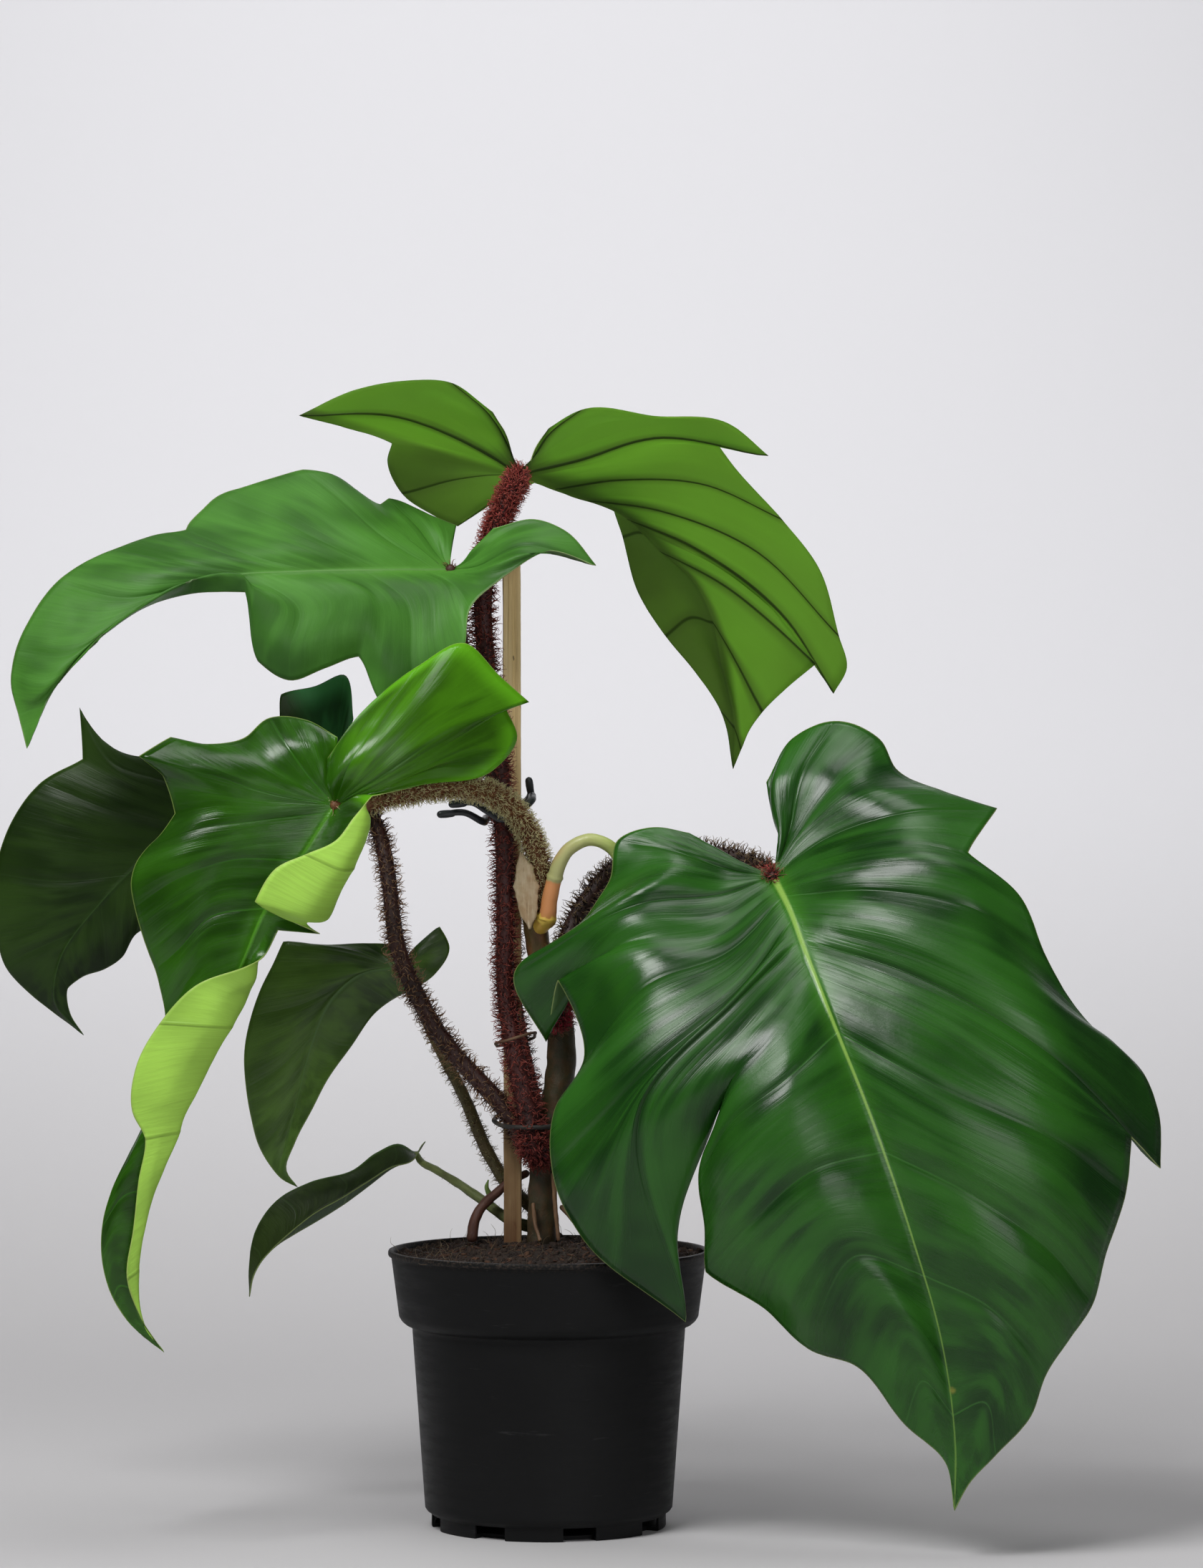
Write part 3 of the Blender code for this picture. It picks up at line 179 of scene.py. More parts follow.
# ---------------------------------------------------------------- leaves
# A blade is drawn in its own frame, in millimetres, and only its distances from its first midrib
# point, where the petiole meets it, are used. Its midrib runs from there to the tip. Each rib is
# (share of the midrib at which it starts, right corner, right points, left corner, left points):
# the points go outwards three numbers at a time and the last lies on the margin. Right and left
# are as seen on the upper side with the tip down. A corner of 1 makes the margin pointed there.
LEAVES = {
    "leaf_front": {
        "joins": "petiole_front",
        "gap": (0, -6.0, 2.0),
        "midrib": [(132, -60, 389), (140, -84, 372), (150, -112, 344), (162, -132, 312), (185, -150, 253),
                   (208, -154, 185), (224, -150, 129), (233, -144, 60), (233, -136, 28)],
        "ribs": [
            (0, 0, (138, -52, 403, 133, -42, 419, 129, -30, 444),
             0, (115, -54, 397, 99, -49, 406, 83, -45, 414)),
            (0, 0, (137, -50, 412, 135, -36, 445, 145, -18, 470),
             0, (112, -55, 395, 88, -51, 404, 60, -45, 417)),
            (0, 0, (141, -49, 412, 150, -38, 450, 170, -16, 480),
             0, (110, -57, 392, 75, -58, 404, 41, -46, 410)),
            (0, 0, (146, -50, 413, 172, -42, 448, 197, -20, 469),
             0, (108, -59, 389, 72, -66, 396, 36, -52, 386)),
            (0, 0, (149, -52, 412, 180, -50, 442, 206, -30, 452),
             0, (107, -61, 387, 70, -70, 392, 30, -53, 376)),
            (0, 0, (152, -54, 412, 190, -60, 436, 233, -45, 438),
             0, (105, -64, 384, 66, -74, 388, 23, -54, 366)),
            (0, 1, (158, -60, 409, 205, -72, 426, 264, -48, 428),
             0, (102, -69, 379, 55, -80, 374, -20, -52, 331)),
            (.01, .8, (165, -75, 400, 210, -90, 409, 244, -92, 403),
             1, (104, -76, 368, 50, -86, 362, -1, -36, 291)),
            (.03, 0, (175, -90, 393, 225, -104, 396, 274, -98, 377),
             .4, (100, -86, 356, 52, -92, 349, 6, -66, 328)),
            (.05, 0, (190, -104, 382, 245, -114, 372, 288, -98, 345),
             0, (104, -100, 346, 58, -108, 328, 22, -90, 283)),
            (.08, 0, (200, -116, 366, 262, -124, 342, 315, -96, 302),
             0, (110, -112, 334, 62, -122, 305, 4, -100, 254)),
            (.10, 0, (205, -122, 354, 275, -130, 322, 346, -90, 275),
             0, (112, -120, 326, 62, -132, 284, 3, -106, 220)),
            (.12, 0, (210, -126, 342, 285, -134, 305, 355, -86, 250),
             0, (110, -126, 322, 58, -138, 270, 20, -112, 182)),
            (.14, 1, (214, -130, 332, 285, -138, 291, 356, -88, 220),
             1, (108, -130, 318, 56, -140, 262, 80, -116, 134)),
            (.17, 0, (218, -136, 318, 285, -142, 278, 346, -102, 231),
             0, (112, -134, 305, 70, -142, 255, 75, -122, 184)),
            (.21, 1, (222, -142, 302, 285, -146, 264, 336, -116, 240),
             1, (128, -142, 298, 106, -144, 275, 99, -136, 257)),
            (.30, 0, (225, -156, 270, 290, -150, 240, 332, -122, 208),
             0, (135, -158, 275, 104, -152, 250, 87, -134, 220)),
            (.39, 0, (235, -160, 240, 290, -154, 208, 320, -130, 174),
             0, (142, -164, 250, 106, -154, 215, 91, -128, 185)),
            (.48, 0, (245, -162, 208, 288, -154, 176, 312, -136, 146),
             .7, (152, -166, 225, 112, -154, 190, 92, -124, 164)),
            (.57, 0, (250, -162, 176, 282, -156, 150, 298, -142, 127),
             0, (160, -166, 200, 130, -154, 168, 124, -130, 144)),
            (.66, 0, (252, -160, 146, 272, -156, 126, 285, -146, 108),
             0, (175, -164, 176, 155, -156, 142, 152, -134, 119)),
            (.76, 0, (252, -156, 120, 276, -148, 84), 0, (196, -160, 148, 176, -138, 112)),
            (.86, 0, (248, -152, 92, 256, -146, 61), 0, (214, -154, 104, 204, -142, 78)),
            (.94, 0, (241, -141, 44), 0, (228, -139, 54)),
            (1, 0, (233, -136, 28), 0, (233, -136, 28)),
        ],
    },
    "leaf_top": {
        "joins": "petiole_top",
        "gap": (2.0, 5.5, 5.5),
        "midrib": [(-19, -4, 628), (13, 10, 616), (43, 25, 605), (64, 38, 586), (87, 50, 566), (98, 58, 543),
                   (103, 64, 520), (112, 72, 477), (111, 72, 452)],
        "ribs": [
            (0, 0, (-23, -5, 640, -27, -9, 652, -34, -14, 664), 0, (-14, -5, 632, -9, -7, 643, -1, -8, 655)),
            (0, 0, (-24, -7, 642, -36, -16, 662, -58, -22, 681), 0, (-10, -6, 638, -2, -8, 650, 18, -10, 666)),
            (0, 0, (-28, -8, 643, -50, -22, 666, -87, -26, 682), 0, (0, -8, 643, 30, -8, 658, 63, 0, 663)),
            (0, 0, (-34, -8, 643, -68, -24, 665, -114, -26, 677), 0, (8, -6, 640, 50, -2, 655, 106, 15, 660)),
            (0, 1, (-40, -8, 641, -90, -22, 661, -149, -20, 662), 1, (15, -2, 636, 60, 4, 650, 131, 25, 641)),
            (.02, .7, (-38, -4, 636, -76, -6, 648, -125, -14, 656), 1, (24, 4, 634, 62, 10, 646, 100, 20, 648)),
            (.06, .8, (-36, 2, 634, -66, 4, 642, -95, 4, 647), 0, (30, 10, 632, 72, 18, 640, 111, 28, 634)),
            (.10, 0, (-30, 8, 629, -64, 12, 634, -98, 14, 638), 0, (42, 18, 626, 92, 28, 624, 140, 38, 603)),
            (.14, 0, (-20, 18, 629, -58, 24, 627, -90, 28, 619), 0, (55, 24, 618, 110, 38, 604, 163, 46, 573)),
            (.18, 0, (-12, 28, 629, -48, 38, 619, -73, 42, 607), 0, (66, 32, 608, 125, 46, 584, 175, 54, 533)),
            (.24, .8, (0, 36, 631, -30, 50, 619, -57, 56, 600), 0, (78, 38, 598, 138, 52, 562, 180, 56, 514)),
            (.30, 0, (24, 44, 626, 2, 56, 631, -20, 62, 634), 1, (88, 46, 586, 142, 58, 545, 172, 60, 498)),
            (.36, .8, (50, 46, 609, 33, 62, 623), 1, (98, 52, 576, 130, 58, 555, 146, 58, 536)),
            (.42, .5, (56, 54, 596, 43, 72, 594), 1, (108, 56, 562, 138, 58, 538, 161, 52, 516)),
            (.52, 0, (68, 66, 570, 52, 78, 562), 0, (118, 62, 530, 143, 62, 501)),
            (.64, 0, (85, 72, 545, 70, 82, 534), 0, (116, 68, 512, 129, 66, 487)),
            (.77, 0, (96, 78, 520, 88, 82, 512), 0, (113, 72, 494, 120, 70, 474)),
            (.90, 0, (104, 78, 488), 0, (116, 72, 464)),
            (1, 0, (111, 72, 452), 0, (111, 72, 452)),
        ],
    },
    "leaf_left_upper": {
        "joins": "petiole_left_upper",
        "gap": (-1.5, -8.0, 7.5),
        "midrib": [(-59, -15, 572), (-101, -40, 571), (-148, -62, 569), (-185, -78, 566), (-221, -88, 556),
                   (-255, -92, 534), (-285, -90, 502), (-303, -84, 465)],
        "ribs": [
            (0, 0, (-52, -20, 576, -46, -26, 583, -33, -30, 596),
             0, (-59, -10, 579, -58, -2, 588, -56, 10, 600)),
            (0, 0, (-48, -22, 576, -32, -32, 588, -8, -34, 601), 0, (-62, -9, 579, -64, -1, 591, -70, 14, 606)),
            (0, 0, (-46, -26, 575, -18, -42, 589, 10, -38, 594), .5, (-66, -9, 580, -78, 2, 597, -97, 20, 617)),
            (0, 1, (-44, -30, 573, -14, -48, 585, 28, -44, 574),
             .6, (-70, -12, 580, -84, -2, 597, -102, 16, 613)),
            (.01, .3, (-44, -34, 570, -22, -52, 577, 1, -50, 582),
             0, (-84, -14, 588, -112, 0, 612, -134, 12, 631)),
            (.03, .3, (-50, -36, 567, -38, -48, 566, -26, -54, 567),
             .5, (-98, -20, 591, -124, -6, 614, -148, 8, 633)),
            (.06, 0, (-56, -42, 562, -46, -58, 548), 0, (-110, -28, 592, -140, -14, 613, -165, -1, 628)),
            (.10, 0, (-62, -46, 560, -57, -56, 545, -49, -62, 525),
             0, (-122, -34, 591, -152, -20, 610, -181, -7, 622)),
            (.14, 0, (-72, -50, 558, -68, -62, 530, -62, -66, 492),
             0, (-136, -42, 589, -168, -28, 605, -196, -15, 616)),
            (.19, 1, (-84, -56, 552, -80, -66, 515, -76, -68, 470),
             0, (-148, -50, 586, -178, -38, 597, -206, -28, 606)),
            (.24, 0, (-96, -62, 550, -96, -70, 520, -98, -68, 492),
             0, (-160, -58, 582, -188, -48, 590, -213, -40, 597)),
            (.30, .5, (-108, -68, 552, -108, -72, 536, -111, -68, 519), .6, (-172, -64, 578, -214, -46, 594)),
            (.37, 0, (-126, -74, 550, -130, -80, 530, -130, -76, 512), 0, (-190, -72, 577, -232, -48, 591)),
            (.43, 0, (-145, -80, 545, -150, -86, 522, -151, -80, 505), 0, (-205, -80, 572, -254, -54, 583)),
            (.48, .4, (-160, -84, 550, -166, -86, 532, -169, -80, 516), 0, (-222, -84, 566, -272, -58, 574)),
            (.53, .8, (-176, -86, 563, -176, -84, 556), 0, (-240, -86, 553, -288, -62, 562)),
            (.62, 0, (-205, -98, 562, -207, -84, 555), 0, (-256, -88, 540, -302, -68, 543)),
            (.72, 0, (-232, -102, 549, -236, -84, 547), 0, (-276, -92, 520, -311, -74, 522)),
            (.81, 0, (-258, -98, 530, -266, -84, 524), 0, (-292, -92, 500, -313, -78, 504)),
            (.91, 0, (-290, -86, 501), 0, (-308, -82, 485)),
            (1, 0, (-303, -84, 465), 0, (-303, -84, 465)),
        ],
    },
    "leaf_bright": {
        "joins": "petiole_bright",
        "gap": (-7.0, -6.0, 3.0),
        "midrib": [(-122, -112, 431), (-141, -118, 400), (-161, -122, 371), (-175, -124, 339), (-190, -124, 310),
                   (-203, -124, 280), (-213, -124, 250), (-222, -123, 222), (-230, -122, 195),
                   (-236, -121, 165), (-235, -119, 140), (-220, -114, 116)],
        "ribs": [
            (0, 0, (-126, -120, 443, -126, -112, 458), 0, (-121, -108, 445, -121, -100, 470)),
            (0, 0, (-122, -123, 445, -120, -114, 463, -110, -100, 481),
             0, (-128, -112, 446, -133, -108, 465, -140, -94, 480)),
            (0, 0, (-114, -124, 452, -97, -113, 479, -74, -88, 512),
             0, (-136, -112, 446, -149, -109, 464, -161, -92, 481)),
            (0, 0, (-105, -123, 453, -80, -113, 482, -48, -74, 525),
             0, (-143, -113, 445, -162, -110, 458, -176, -100, 469)),
            (0, 0, (-101, -121, 449, -68, -108, 480, -28, -66, 506),
             0, (-150, -115, 443, -172, -114, 455, -196, -106, 466)),
            (0, 1, (-97, -120, 446, -58, -104, 472, -11, -60, 491),
             .8, (-155, -116, 440, -185, -118, 452, -217, -106, 470)),
            (0, .6, (-95, -118, 444, -58, -100, 466, -25, -66, 489),
             1, (-158, -118, 437, -190, -120, 447, -234, -120, 459)),
            (0, 0, (-94, -117, 442, -56, -97, 459, -18, -64, 471),
             .6, (-160, -118, 434, -192, -120, 440, -221, -112, 448)),
            (0, 0, (-95, -116, 440, -64, -98, 452, -32, -74, 451),
             .8, (-160, -119, 430, -190, -120, 431, -214, -112, 426)),
            (0, 0, (-98, -116, 438, -70, -96, 443), 0, (-162, -120, 427, -194, -121, 424, -223, -112, 413)),
            (.015, 1, (-108, -117, 435, -100, -120, 436),
             0, (-164, -120, 422, -200, -122, 417, -231, -112, 405)),
            (.04, 0, (-111, -113, 424, -101, -119, 423, -104, -129, 423, -110, -132, 424), 0,
             (-168, -121, 415, -204, -123, 409, -236, -112, 398)),
            (.07, 0, (-115, -114, 412, -104, -120, 410, -108, -132, 409, -120, -135, 411), 0,
             (-176, -122, 407, -210, -124, 399, -239, -113, 388)),
            (.11, 0, (-122, -116, 398, -111, -121, 395, -116, -134, 394, -137, -139, 403), 0,
             (-182, -122, 399, -212, -124, 388, -237, -114, 372)),
            (.15, 0, (-130, -117, 382, -119, -122, 379, -126, -136, 379, -154, -141, 395), 0,
             (-188, -122, 388, -212, -124, 373, -233, -115, 358)),
            (.18, .7, (-136, -118, 371, -125, -122, 366, -134, -137, 367, -166, -142, 376), 0,
             (-192, -123, 377, -212, -124, 360, -229, -115, 346)),
            (.205, 1, (-144, -120, 365, -130, -124, 357),
             0, (-194, -123, 366, -210, -124, 349, -225, -116, 336)),
            (.235, 1, (-159, -121, 362, -154, -120, 359),
             0, (-196, -124, 355, -210, -124, 339, -222, -116, 325)),
            (.285, 0, (-167, -122, 346, -162, -123, 344), 0, (-200, -124, 334, -219, -116, 308)),
            (.33, 0, (-170, -123, 331, -166, -129, 332, -171, -134, 339),
             0, (-205, -125, 316, -220, -116, 293)),
            (.38, 0, (-176, -124, 318, -172, -129, 318, -180, -137, 322, -200, -140, 328), 0,
             (-211, -125, 298, -223, -117, 279)),
            (.44, 0, (-184, -125, 304, -180, -130, 304, -190, -139, 305, -220, -141, 307), 0,
             (-214, -125, 283, -226, -118, 266)),
            (.51, 0, (-194, -126, 284, -190, -130, 286, -200, -140, 287, -234, -141, 281), 0,
             (-218, -125, 266, -231, -119, 249)),
            (.58, 0, (-205, -126, 262, -201, -130, 264, -212, -138, 262, -236, -139, 256), 0,
             (-225, -125, 248, -241, -120, 228)),
            (.64, .3, (-214, -126, 243, -210, -129, 244, -218, -134, 243, -229, -136, 241), 0,
             (-232, -125, 230, -249, -121, 211)),
            (.71, 0, (-221, -125, 220, -219, -129, 222, -224, -133, 221, -233, -134, 216), 0,
             (-240, -124, 208, -255, -121, 189)),
            (.79, 0, (-229, -124, 195, -228, -127, 196, -236, -131, 190),
             0, (-246, -123, 184, -255, -121, 169)),
            (.88, 0, (-234, -121, 163, -234, -124, 164, -240, -128, 160),
             0, (-245, -121, 155, -249, -120, 148)),
            (.95, 0, (-233, -120, 137), 0, (-241, -119, 135)),
            (1, 0, (-220, -114, 116), 0, (-220, -114, 116)),
        ],
    },
    "leaf_dark_left": {
        "joins": "petiole_dark_left",
        "gap": (-3.0, -9.0, -0.5),
        "midrib": [(-131, 8, 444), (-180, 2, 432), (-228, -2, 408), (-268, 0, 372), (-294, 8, 335),
                   (-297, 16, 312), (-280, 20, 292)],
        "ribs": [
            (0, 0, (-124, 5, 440, -115, 4, 436), 0, (-126, 11, 455, -118, 24, 482)),
            (0, 0, (-124, 5, 434, -113, 4, 422), 0, (-129, 12, 462, -124, 28, 509)),
            (0, 0, (-126, 6, 430, -118, 8, 404), 0, (-134, 12, 460, -140, 22, 485, -141, 30, 502)),
            (0, 1, (-130, 6, 424, -129, 14, 386), .5, (-139, 12, 458, -152, 22, 480, -162, 30, 497)),
            (.02, .8, (-136, 6, 422, -140, 14, 396), .4, (-147, 11, 455, -163, 22, 478)),
            (.06, 0, (-146, 6, 412, -154, 18, 384), 0, (-165, 8, 456, -198, 16, 464)),
            (.12, 0, (-161, 6, 400, -170, 20, 364), 0, (-195, 4, 455, -236, 12, 460)),
            (.18, 0, (-178, 8, 392, -186, 22, 350), 0, (-220, 2, 450, -245, 6, 459, -264, 12, 462)),
            (.22, 1, (-190, 6, 386, -202, 20, 336), 1, (-230, 0, 445, -262, 6, 456, -282, 14, 489)),
            (.28, .8, (-206, 2, 382, -217, 10, 362), .9, (-240, 0, 438, -280, 12, 458)),
            (.36, 0, (-226, 0, 374, -237, 8, 359), 0, (-258, 0, 426, -305, 14, 444)),
            (.45, 0, (-243, 0, 368, -248, 8, 353), 0, (-276, 2, 408, -324, 16, 418)),
            (.53, 0, (-255, 1, 358, -256, 10, 339), 0, (-294, 4, 385, -333, 18, 390)),
            (.62, 0, (-266, 3, 348, -266, 12, 332), 0, (-306, 8, 362, -333, 20, 358)),
            (.71, 0, (-282, 6, 338, -280, 14, 327), 0, (-312, 12, 342, -328, 22, 334)),
            (.81, .3, (-289, 14, 320), 0, (-312, 22, 316)),
            (.91, 0, (-288, 18, 305), 0, (-297, 22, 304)),
            (1, 0, (-280, 20, 292), 0, (-280, 20, 292)),
        ],
    },
    "leaf_lower_left": {
        "joins": "petiole_lower_left",
        "gap": (-1.0, -9.5, 4.0),
        "midrib": [(-94, 62, 331), (-115, 72, 327), (-136, 80, 308), (-147, 84, 282), (-155, 86, 251),
                   (-162, 86, 222), (-164, 84, 205), (-155, 84, 195)],
        "ribs": [
            (0, 0, (-88, 60, 336, -82, 61, 343), 0, (-95, 65, 338, -97, 71, 345)),
            (0, .7, (-82, 56, 342, -67, 57, 356), 0, (-102, 67, 338, -115, 79, 345)),
            (0, 0, (-81, 54, 336, -61, 55, 343), 0, (-110, 70, 338, -140, 85, 344)),
            (0, 0, (-84, 55, 328, -70, 53, 327), .8, (-118, 72, 338, -164, 84, 346)),
            (.03, .3, (-89, 60, 324, -81, 57, 319), 0, (-128, 76, 333, -170, 84, 333)),
            (.10, 0, (-97, 68, 320, -91, 66, 314), 0, (-142, 78, 322, -178, 84, 317)),
            (.18, 0, (-106, 76, 315, -98, 76, 310), 0, (-152, 80, 308, -184, 84, 300)),
            (.29, 0, (-118, 82, 305, -108, 84, 302), 0, (-162, 82, 290, -188, 84, 279)),
            (.42, 0, (-132, 84, 283, -122, 84, 282), 0, (-170, 83, 266, -187, 84, 256)),
            (.55, 0, (-143, 85, 262, -137, 84, 261), 0, (-172, 84, 246, -184, 84, 238)),
            (.68, 0, (-152, 85, 242, -147, 84, 242), 0, (-172, 84, 226, -179, 84, 220)),
            (.82, 0, (-157, 84, 223), 0, (-172, 84, 208)),
            (.93, 0, (-162, 84, 205), 0, (-165, 84, 200)),
            (1, 0, (-155, 84, 195), 0, (-155, 84, 195)),
        ],
    },
    "leaf_small": {
        "joins": "petiole_small",
        "gap": (-2.0, 4.0, 3.5),
        "midrib": [(-82, 60, 217), (-93, 60, 223), (-106, 60, 218), (-121, 60, 207), (-146, 60, 200),
                   (-168, 60, 188), (-181, 60, 168), (-184, 60, 150), (-184, 60, 130)],
        "ribs": [
            (0, 0, (-81, 54, 219, -80, 50, 220), .8, (-80, 65, 221, -77, 68, 224)),
            (0, 0, (-83, 52, 216, -84, 46, 214), 0, (-82, 68, 218, -84, 74, 214)),
            (.10, 0, (-94, 50, 216, -97, 44, 210), 0, (-95, 70, 214, -99, 76, 206)),
            (.22, 0, (-108, 50, 208, -110, 44, 202), 0, (-108, 72, 206, -112, 78, 196)),
            (.34, 0, (-124, 48, 198, -126, 43, 192), 0, (-124, 73, 196, -127, 79, 185)),
            (.46, 0, (-140, 48, 190, -142, 43, 183), 0, (-140, 73, 188, -143, 78, 175)),
            (.58, 0, (-155, 50, 182, -156, 45, 172), 0, (-155, 71, 180, -157, 75, 167)),
            (.69, 0, (-168, 52, 170, -167, 48, 162), 0, (-168, 69, 169, -168, 71, 160)),
            (.80, 0, (-177, 53, 156, -176, 51, 152), 0, (-177, 66, 156, -177, 67, 151)),
            (.90, 0, (-181, 55, 143), 0, (-182, 64, 143)),
            (1, 0, (-184, 60, 130), 0, (-184, 60, 130)),
        ],
    },
}


# ---------------------------------------------------------------- curves and blades
def knots_of(points, least=1e-6):
    """Chord lengths between neighbours, kept off zero."""
    return [max((b - a).length, least) for a, b in zip(points, points[1:])]


def tangents(points, steps):
    """Slopes of a smooth curve through points whose parameters are steps apart."""
    slopes = []
    last = len(points) - 1
    for i in range(last + 1):
        before = (points[i] - points[i - 1]) / steps[i - 1] if i > 0 else None
        after = (points[i + 1] - points[i]) / steps[i] if i < last else None
        if before is None:
            slopes.append(after)
        elif after is None:
            slopes.append(before)
        else:
            slopes.append((before * steps[i] + after * steps[i - 1]) / (steps[i] + steps[i - 1]))
    return slopes


def hermite(a, slope_a, b, slope_b, step, u):
    """The point a share u of the way from a to b, which are step apart, with a slope at each end."""
    v = 1 - u
    return (a * (v * v * (1 + 2 * u)) + slope_a * (step * u * v * v)
            + b * (u * u * (3 - 2 * u)) - slope_b * (step * u * u * v))


def along(points, share):
    """The point of a smooth curve at a share of its length."""
    if len(points) == 2:
        return points[0].lerp(points[1], share)
    steps = knots_of(points)
    slopes = tangents(points, steps)
    target = share * sum(steps)
    for i, step in enumerate(steps):
        if target <= step or i == len(steps) - 1:
            return hermite(points[i], slopes[i], points[i + 1], slopes[i + 1], step, min(target / step, 1.0))
        target -= step
    return points[-1]


def triplets(numbers):
    """Points from a flat run of coordinates."""
    return [Vector(numbers[i:i + 3]) for i in range(0, len(numbers), 3)]


def smooth(low, high, value):
    """0 below low, 1 above high, eased between them."""
    share = max(0.0, min(1.0, (value - low) / (high - low)))
    return share * share * (3 - 2 * share)


def blade_rows(leaf, side, spacing, shares):
    """Rows of one half of a blade, as (vein number, points). side is 1 for the right, 3 for the left."""
    midrib = [Vector(p) for p in leaf["midrib"]]
    ribs = []
    for rib in leaf["ribs"]:
        start = along(midrib, rib[0])
        route = [start] + triplets(rib[side + 1])
        ribs.append([along(route, share) for share in shares])
    margins = [rib[-1] for rib in ribs]
    steps = [max(length, 2.0) for length in knots_of(margins)]
    slopes = [tangents([rib[c] for rib in ribs], steps) for c in range(len(shares))]
    marks = [0] + leaf["veins"][0 if side == 1 else 1] + [len(ribs) - 1]
    rows = []
    for i, step in enumerate(steps):
        gaps = [(triplets(leaf["ribs"][i + 1][k])[-1] - triplets(leaf["ribs"][i][k])[-1]).length for k in (2, 4)]
        count = max(2, math.ceil(max(gaps) / spacing))
        for k in range(count if i < len(steps) - 1 else count + 1):
            u = k / count
            here = leaf["ribs"][i][0] * (1 - u) + leaf["ribs"][i + 1][0] * u
            row = []
            for c, share in enumerate(shares):
                sharp = smooth(0.5, 0.95, share)
                straight = (ribs[i + 1][c] - ribs[i][c]) / step
                leaving = slopes[c][i].lerp(straight, leaf["ribs"][i][side] * sharp)
                arriving = slopes[c][i + 1].lerp(straight, leaf["ribs"][i + 1][side] * sharp)
                row.append(hermite(ribs[i][c], leaving, ribs[i + 1][c], arriving, step, u))
            slip = along(midrib, here) - row[0]
            row = [p + slip * (1 - share) ** 2 for share, p in zip(shares, row)]
            at = i + u
            for number in range(len(marks) - 1):
                if marks[number] <= at <= marks[number + 1]:
                    break
            vein = number + (at - marks[number]) / (marks[number + 1] - marks[number])
            rows.append((vein, here, row))
    return rows


def relief_of(leaf, vein, share, from_midrib, from_margin, place, down):
    """How far the blade stands up towards its upper side, in millimetres."""
    quilt, ridges, groove, wave = leaf["relief"]
    fade = smooth(2.0, 24.0, from_midrib) * smooth(0.0, 14.0, from_margin)
    between = abs(math.sin(math.pi * vein))
    puff = quilt * (between ** 0.55 - 0.45) * fade
    side_ribs = ridges * (abs(math.sin(3 * math.pi * vein)) ** 0.7 - 0.6) * fade
    spine = -groove * math.exp(-(from_midrib / 6.5) ** 2) + 0.9 * groove * math.exp(-(from_midrib / 1.9) ** 2)
    roll = wave * hills.noise(place * 0.022) * smooth(0.45, 1.0, share)
    fine = 0.18 * hills.noise(place * 0.14)
    return puff + side_ribs + spine * (1.0 - 0.75 * down) + roll + fine


def blade(name, leaf, shift, finishes):
    """A whole leaf blade: quilted between its veins, thin, pale at the rim, darker above than below."""
    columns = leaf["columns"]
    shares = [(c / columns) ** 1.35 for c in range(columns + 1)]
    points, faces, corners, marks = [], [], [], []
    for side in (1, 3):
        rows = blade_rows(leaf, side, leaf.get("spacing", 3.2), shares)
        first, width = len(points), columns + 1
        for r, (vein, down, row) in enumerate(rows):
            lengths = [0.0]
            for a, b in zip(row, row[1:]):
                lengths.append(lengths[-1] + (b - a).length)
            near = rows[r + 1 if r < len(rows) - 1 else r - 1]
            for c, p in enumerate(row):
                spread = (near[2][c] - p).length / max(abs(near[0] - vein), 1e-4)
                from_vein = abs(vein - round(vein)) * spread
                from_margin = lengths[-1] - lengths[c]
                rise = relief_of(leaf, vein, shares[c], lengths[c], from_margin, p, down)
                points.append(p + shift)
                marks.append((rise, lengths[c], from_margin, from_vein, down))
                corners.append((shares[c], vein + (0 if side == 1 else OTHER_HALF)))
        for r in range(len(rows) - 1):
            for c in range(columns):
                a = first + r * width + c
                quad = (a, a + width, a + width + 1, a + 1)
                faces.append(quad if side == 1 else quad[::-1])
    mesh = bpy.data.meshes.new(name)
    mesh.from_pydata([tuple(p * MM) for p in points], [], faces)
    for k, key in enumerate(("rise", "from_midrib", "from_margin", "from_vein", "down")):
        mesh.attributes.new(key, "FLOAT", "POINT").data.foreach_set("value", [mark[k] for mark in marks])
    uv = mesh.uv_layers.new(name="blade")
    for index, loop in enumerate(mesh.loops):
        uv.data[index].uv = corners[loop.vertex_index]
    grid = bmesh.new()
    grid.from_mesh(mesh)
    bmesh.ops.remove_doubles(grid, verts=grid.verts, dist=0.02 * MM)
    bmesh.ops.dissolve_degenerate(grid, edges=grid.edges, dist=0.01 * MM)
    grid.normal_update()
    rise = grid.verts.layers.float["rise"]
    moves = [(vert, vert.normal * (vert[rise] * MM)) for vert in grid.verts]
    for vert, move in moves:
        vert.co += move
    grid.to_mesh(mesh)
    grid.free()
    obj = place_mesh(name, mesh, finishes)
    solid = obj.modifiers.new("thickness", "SOLIDIFY")
    solid.thickness = BLADE_THICKNESS * MM
    solid.offset = 0.0
    solid.use_rim = True
    solid.material_offset = 1
    solid.material_offset_rim = 2
    return obj


# ---------------------------------------------------------------- meshes
def place_mesh(name, mesh, finishes):
    """A smooth-shaded object for a mesh, with its finishes in order."""
    mesh.validate()
    obj = bpy.data.objects.new(name, mesh)
    bpy.context.scene.collection.objects.link(obj)
    for finish in finishes:
        mesh.materials.append(finish)
    for polygon in mesh.polygons:
        polygon.use_smooth = True
    return obj


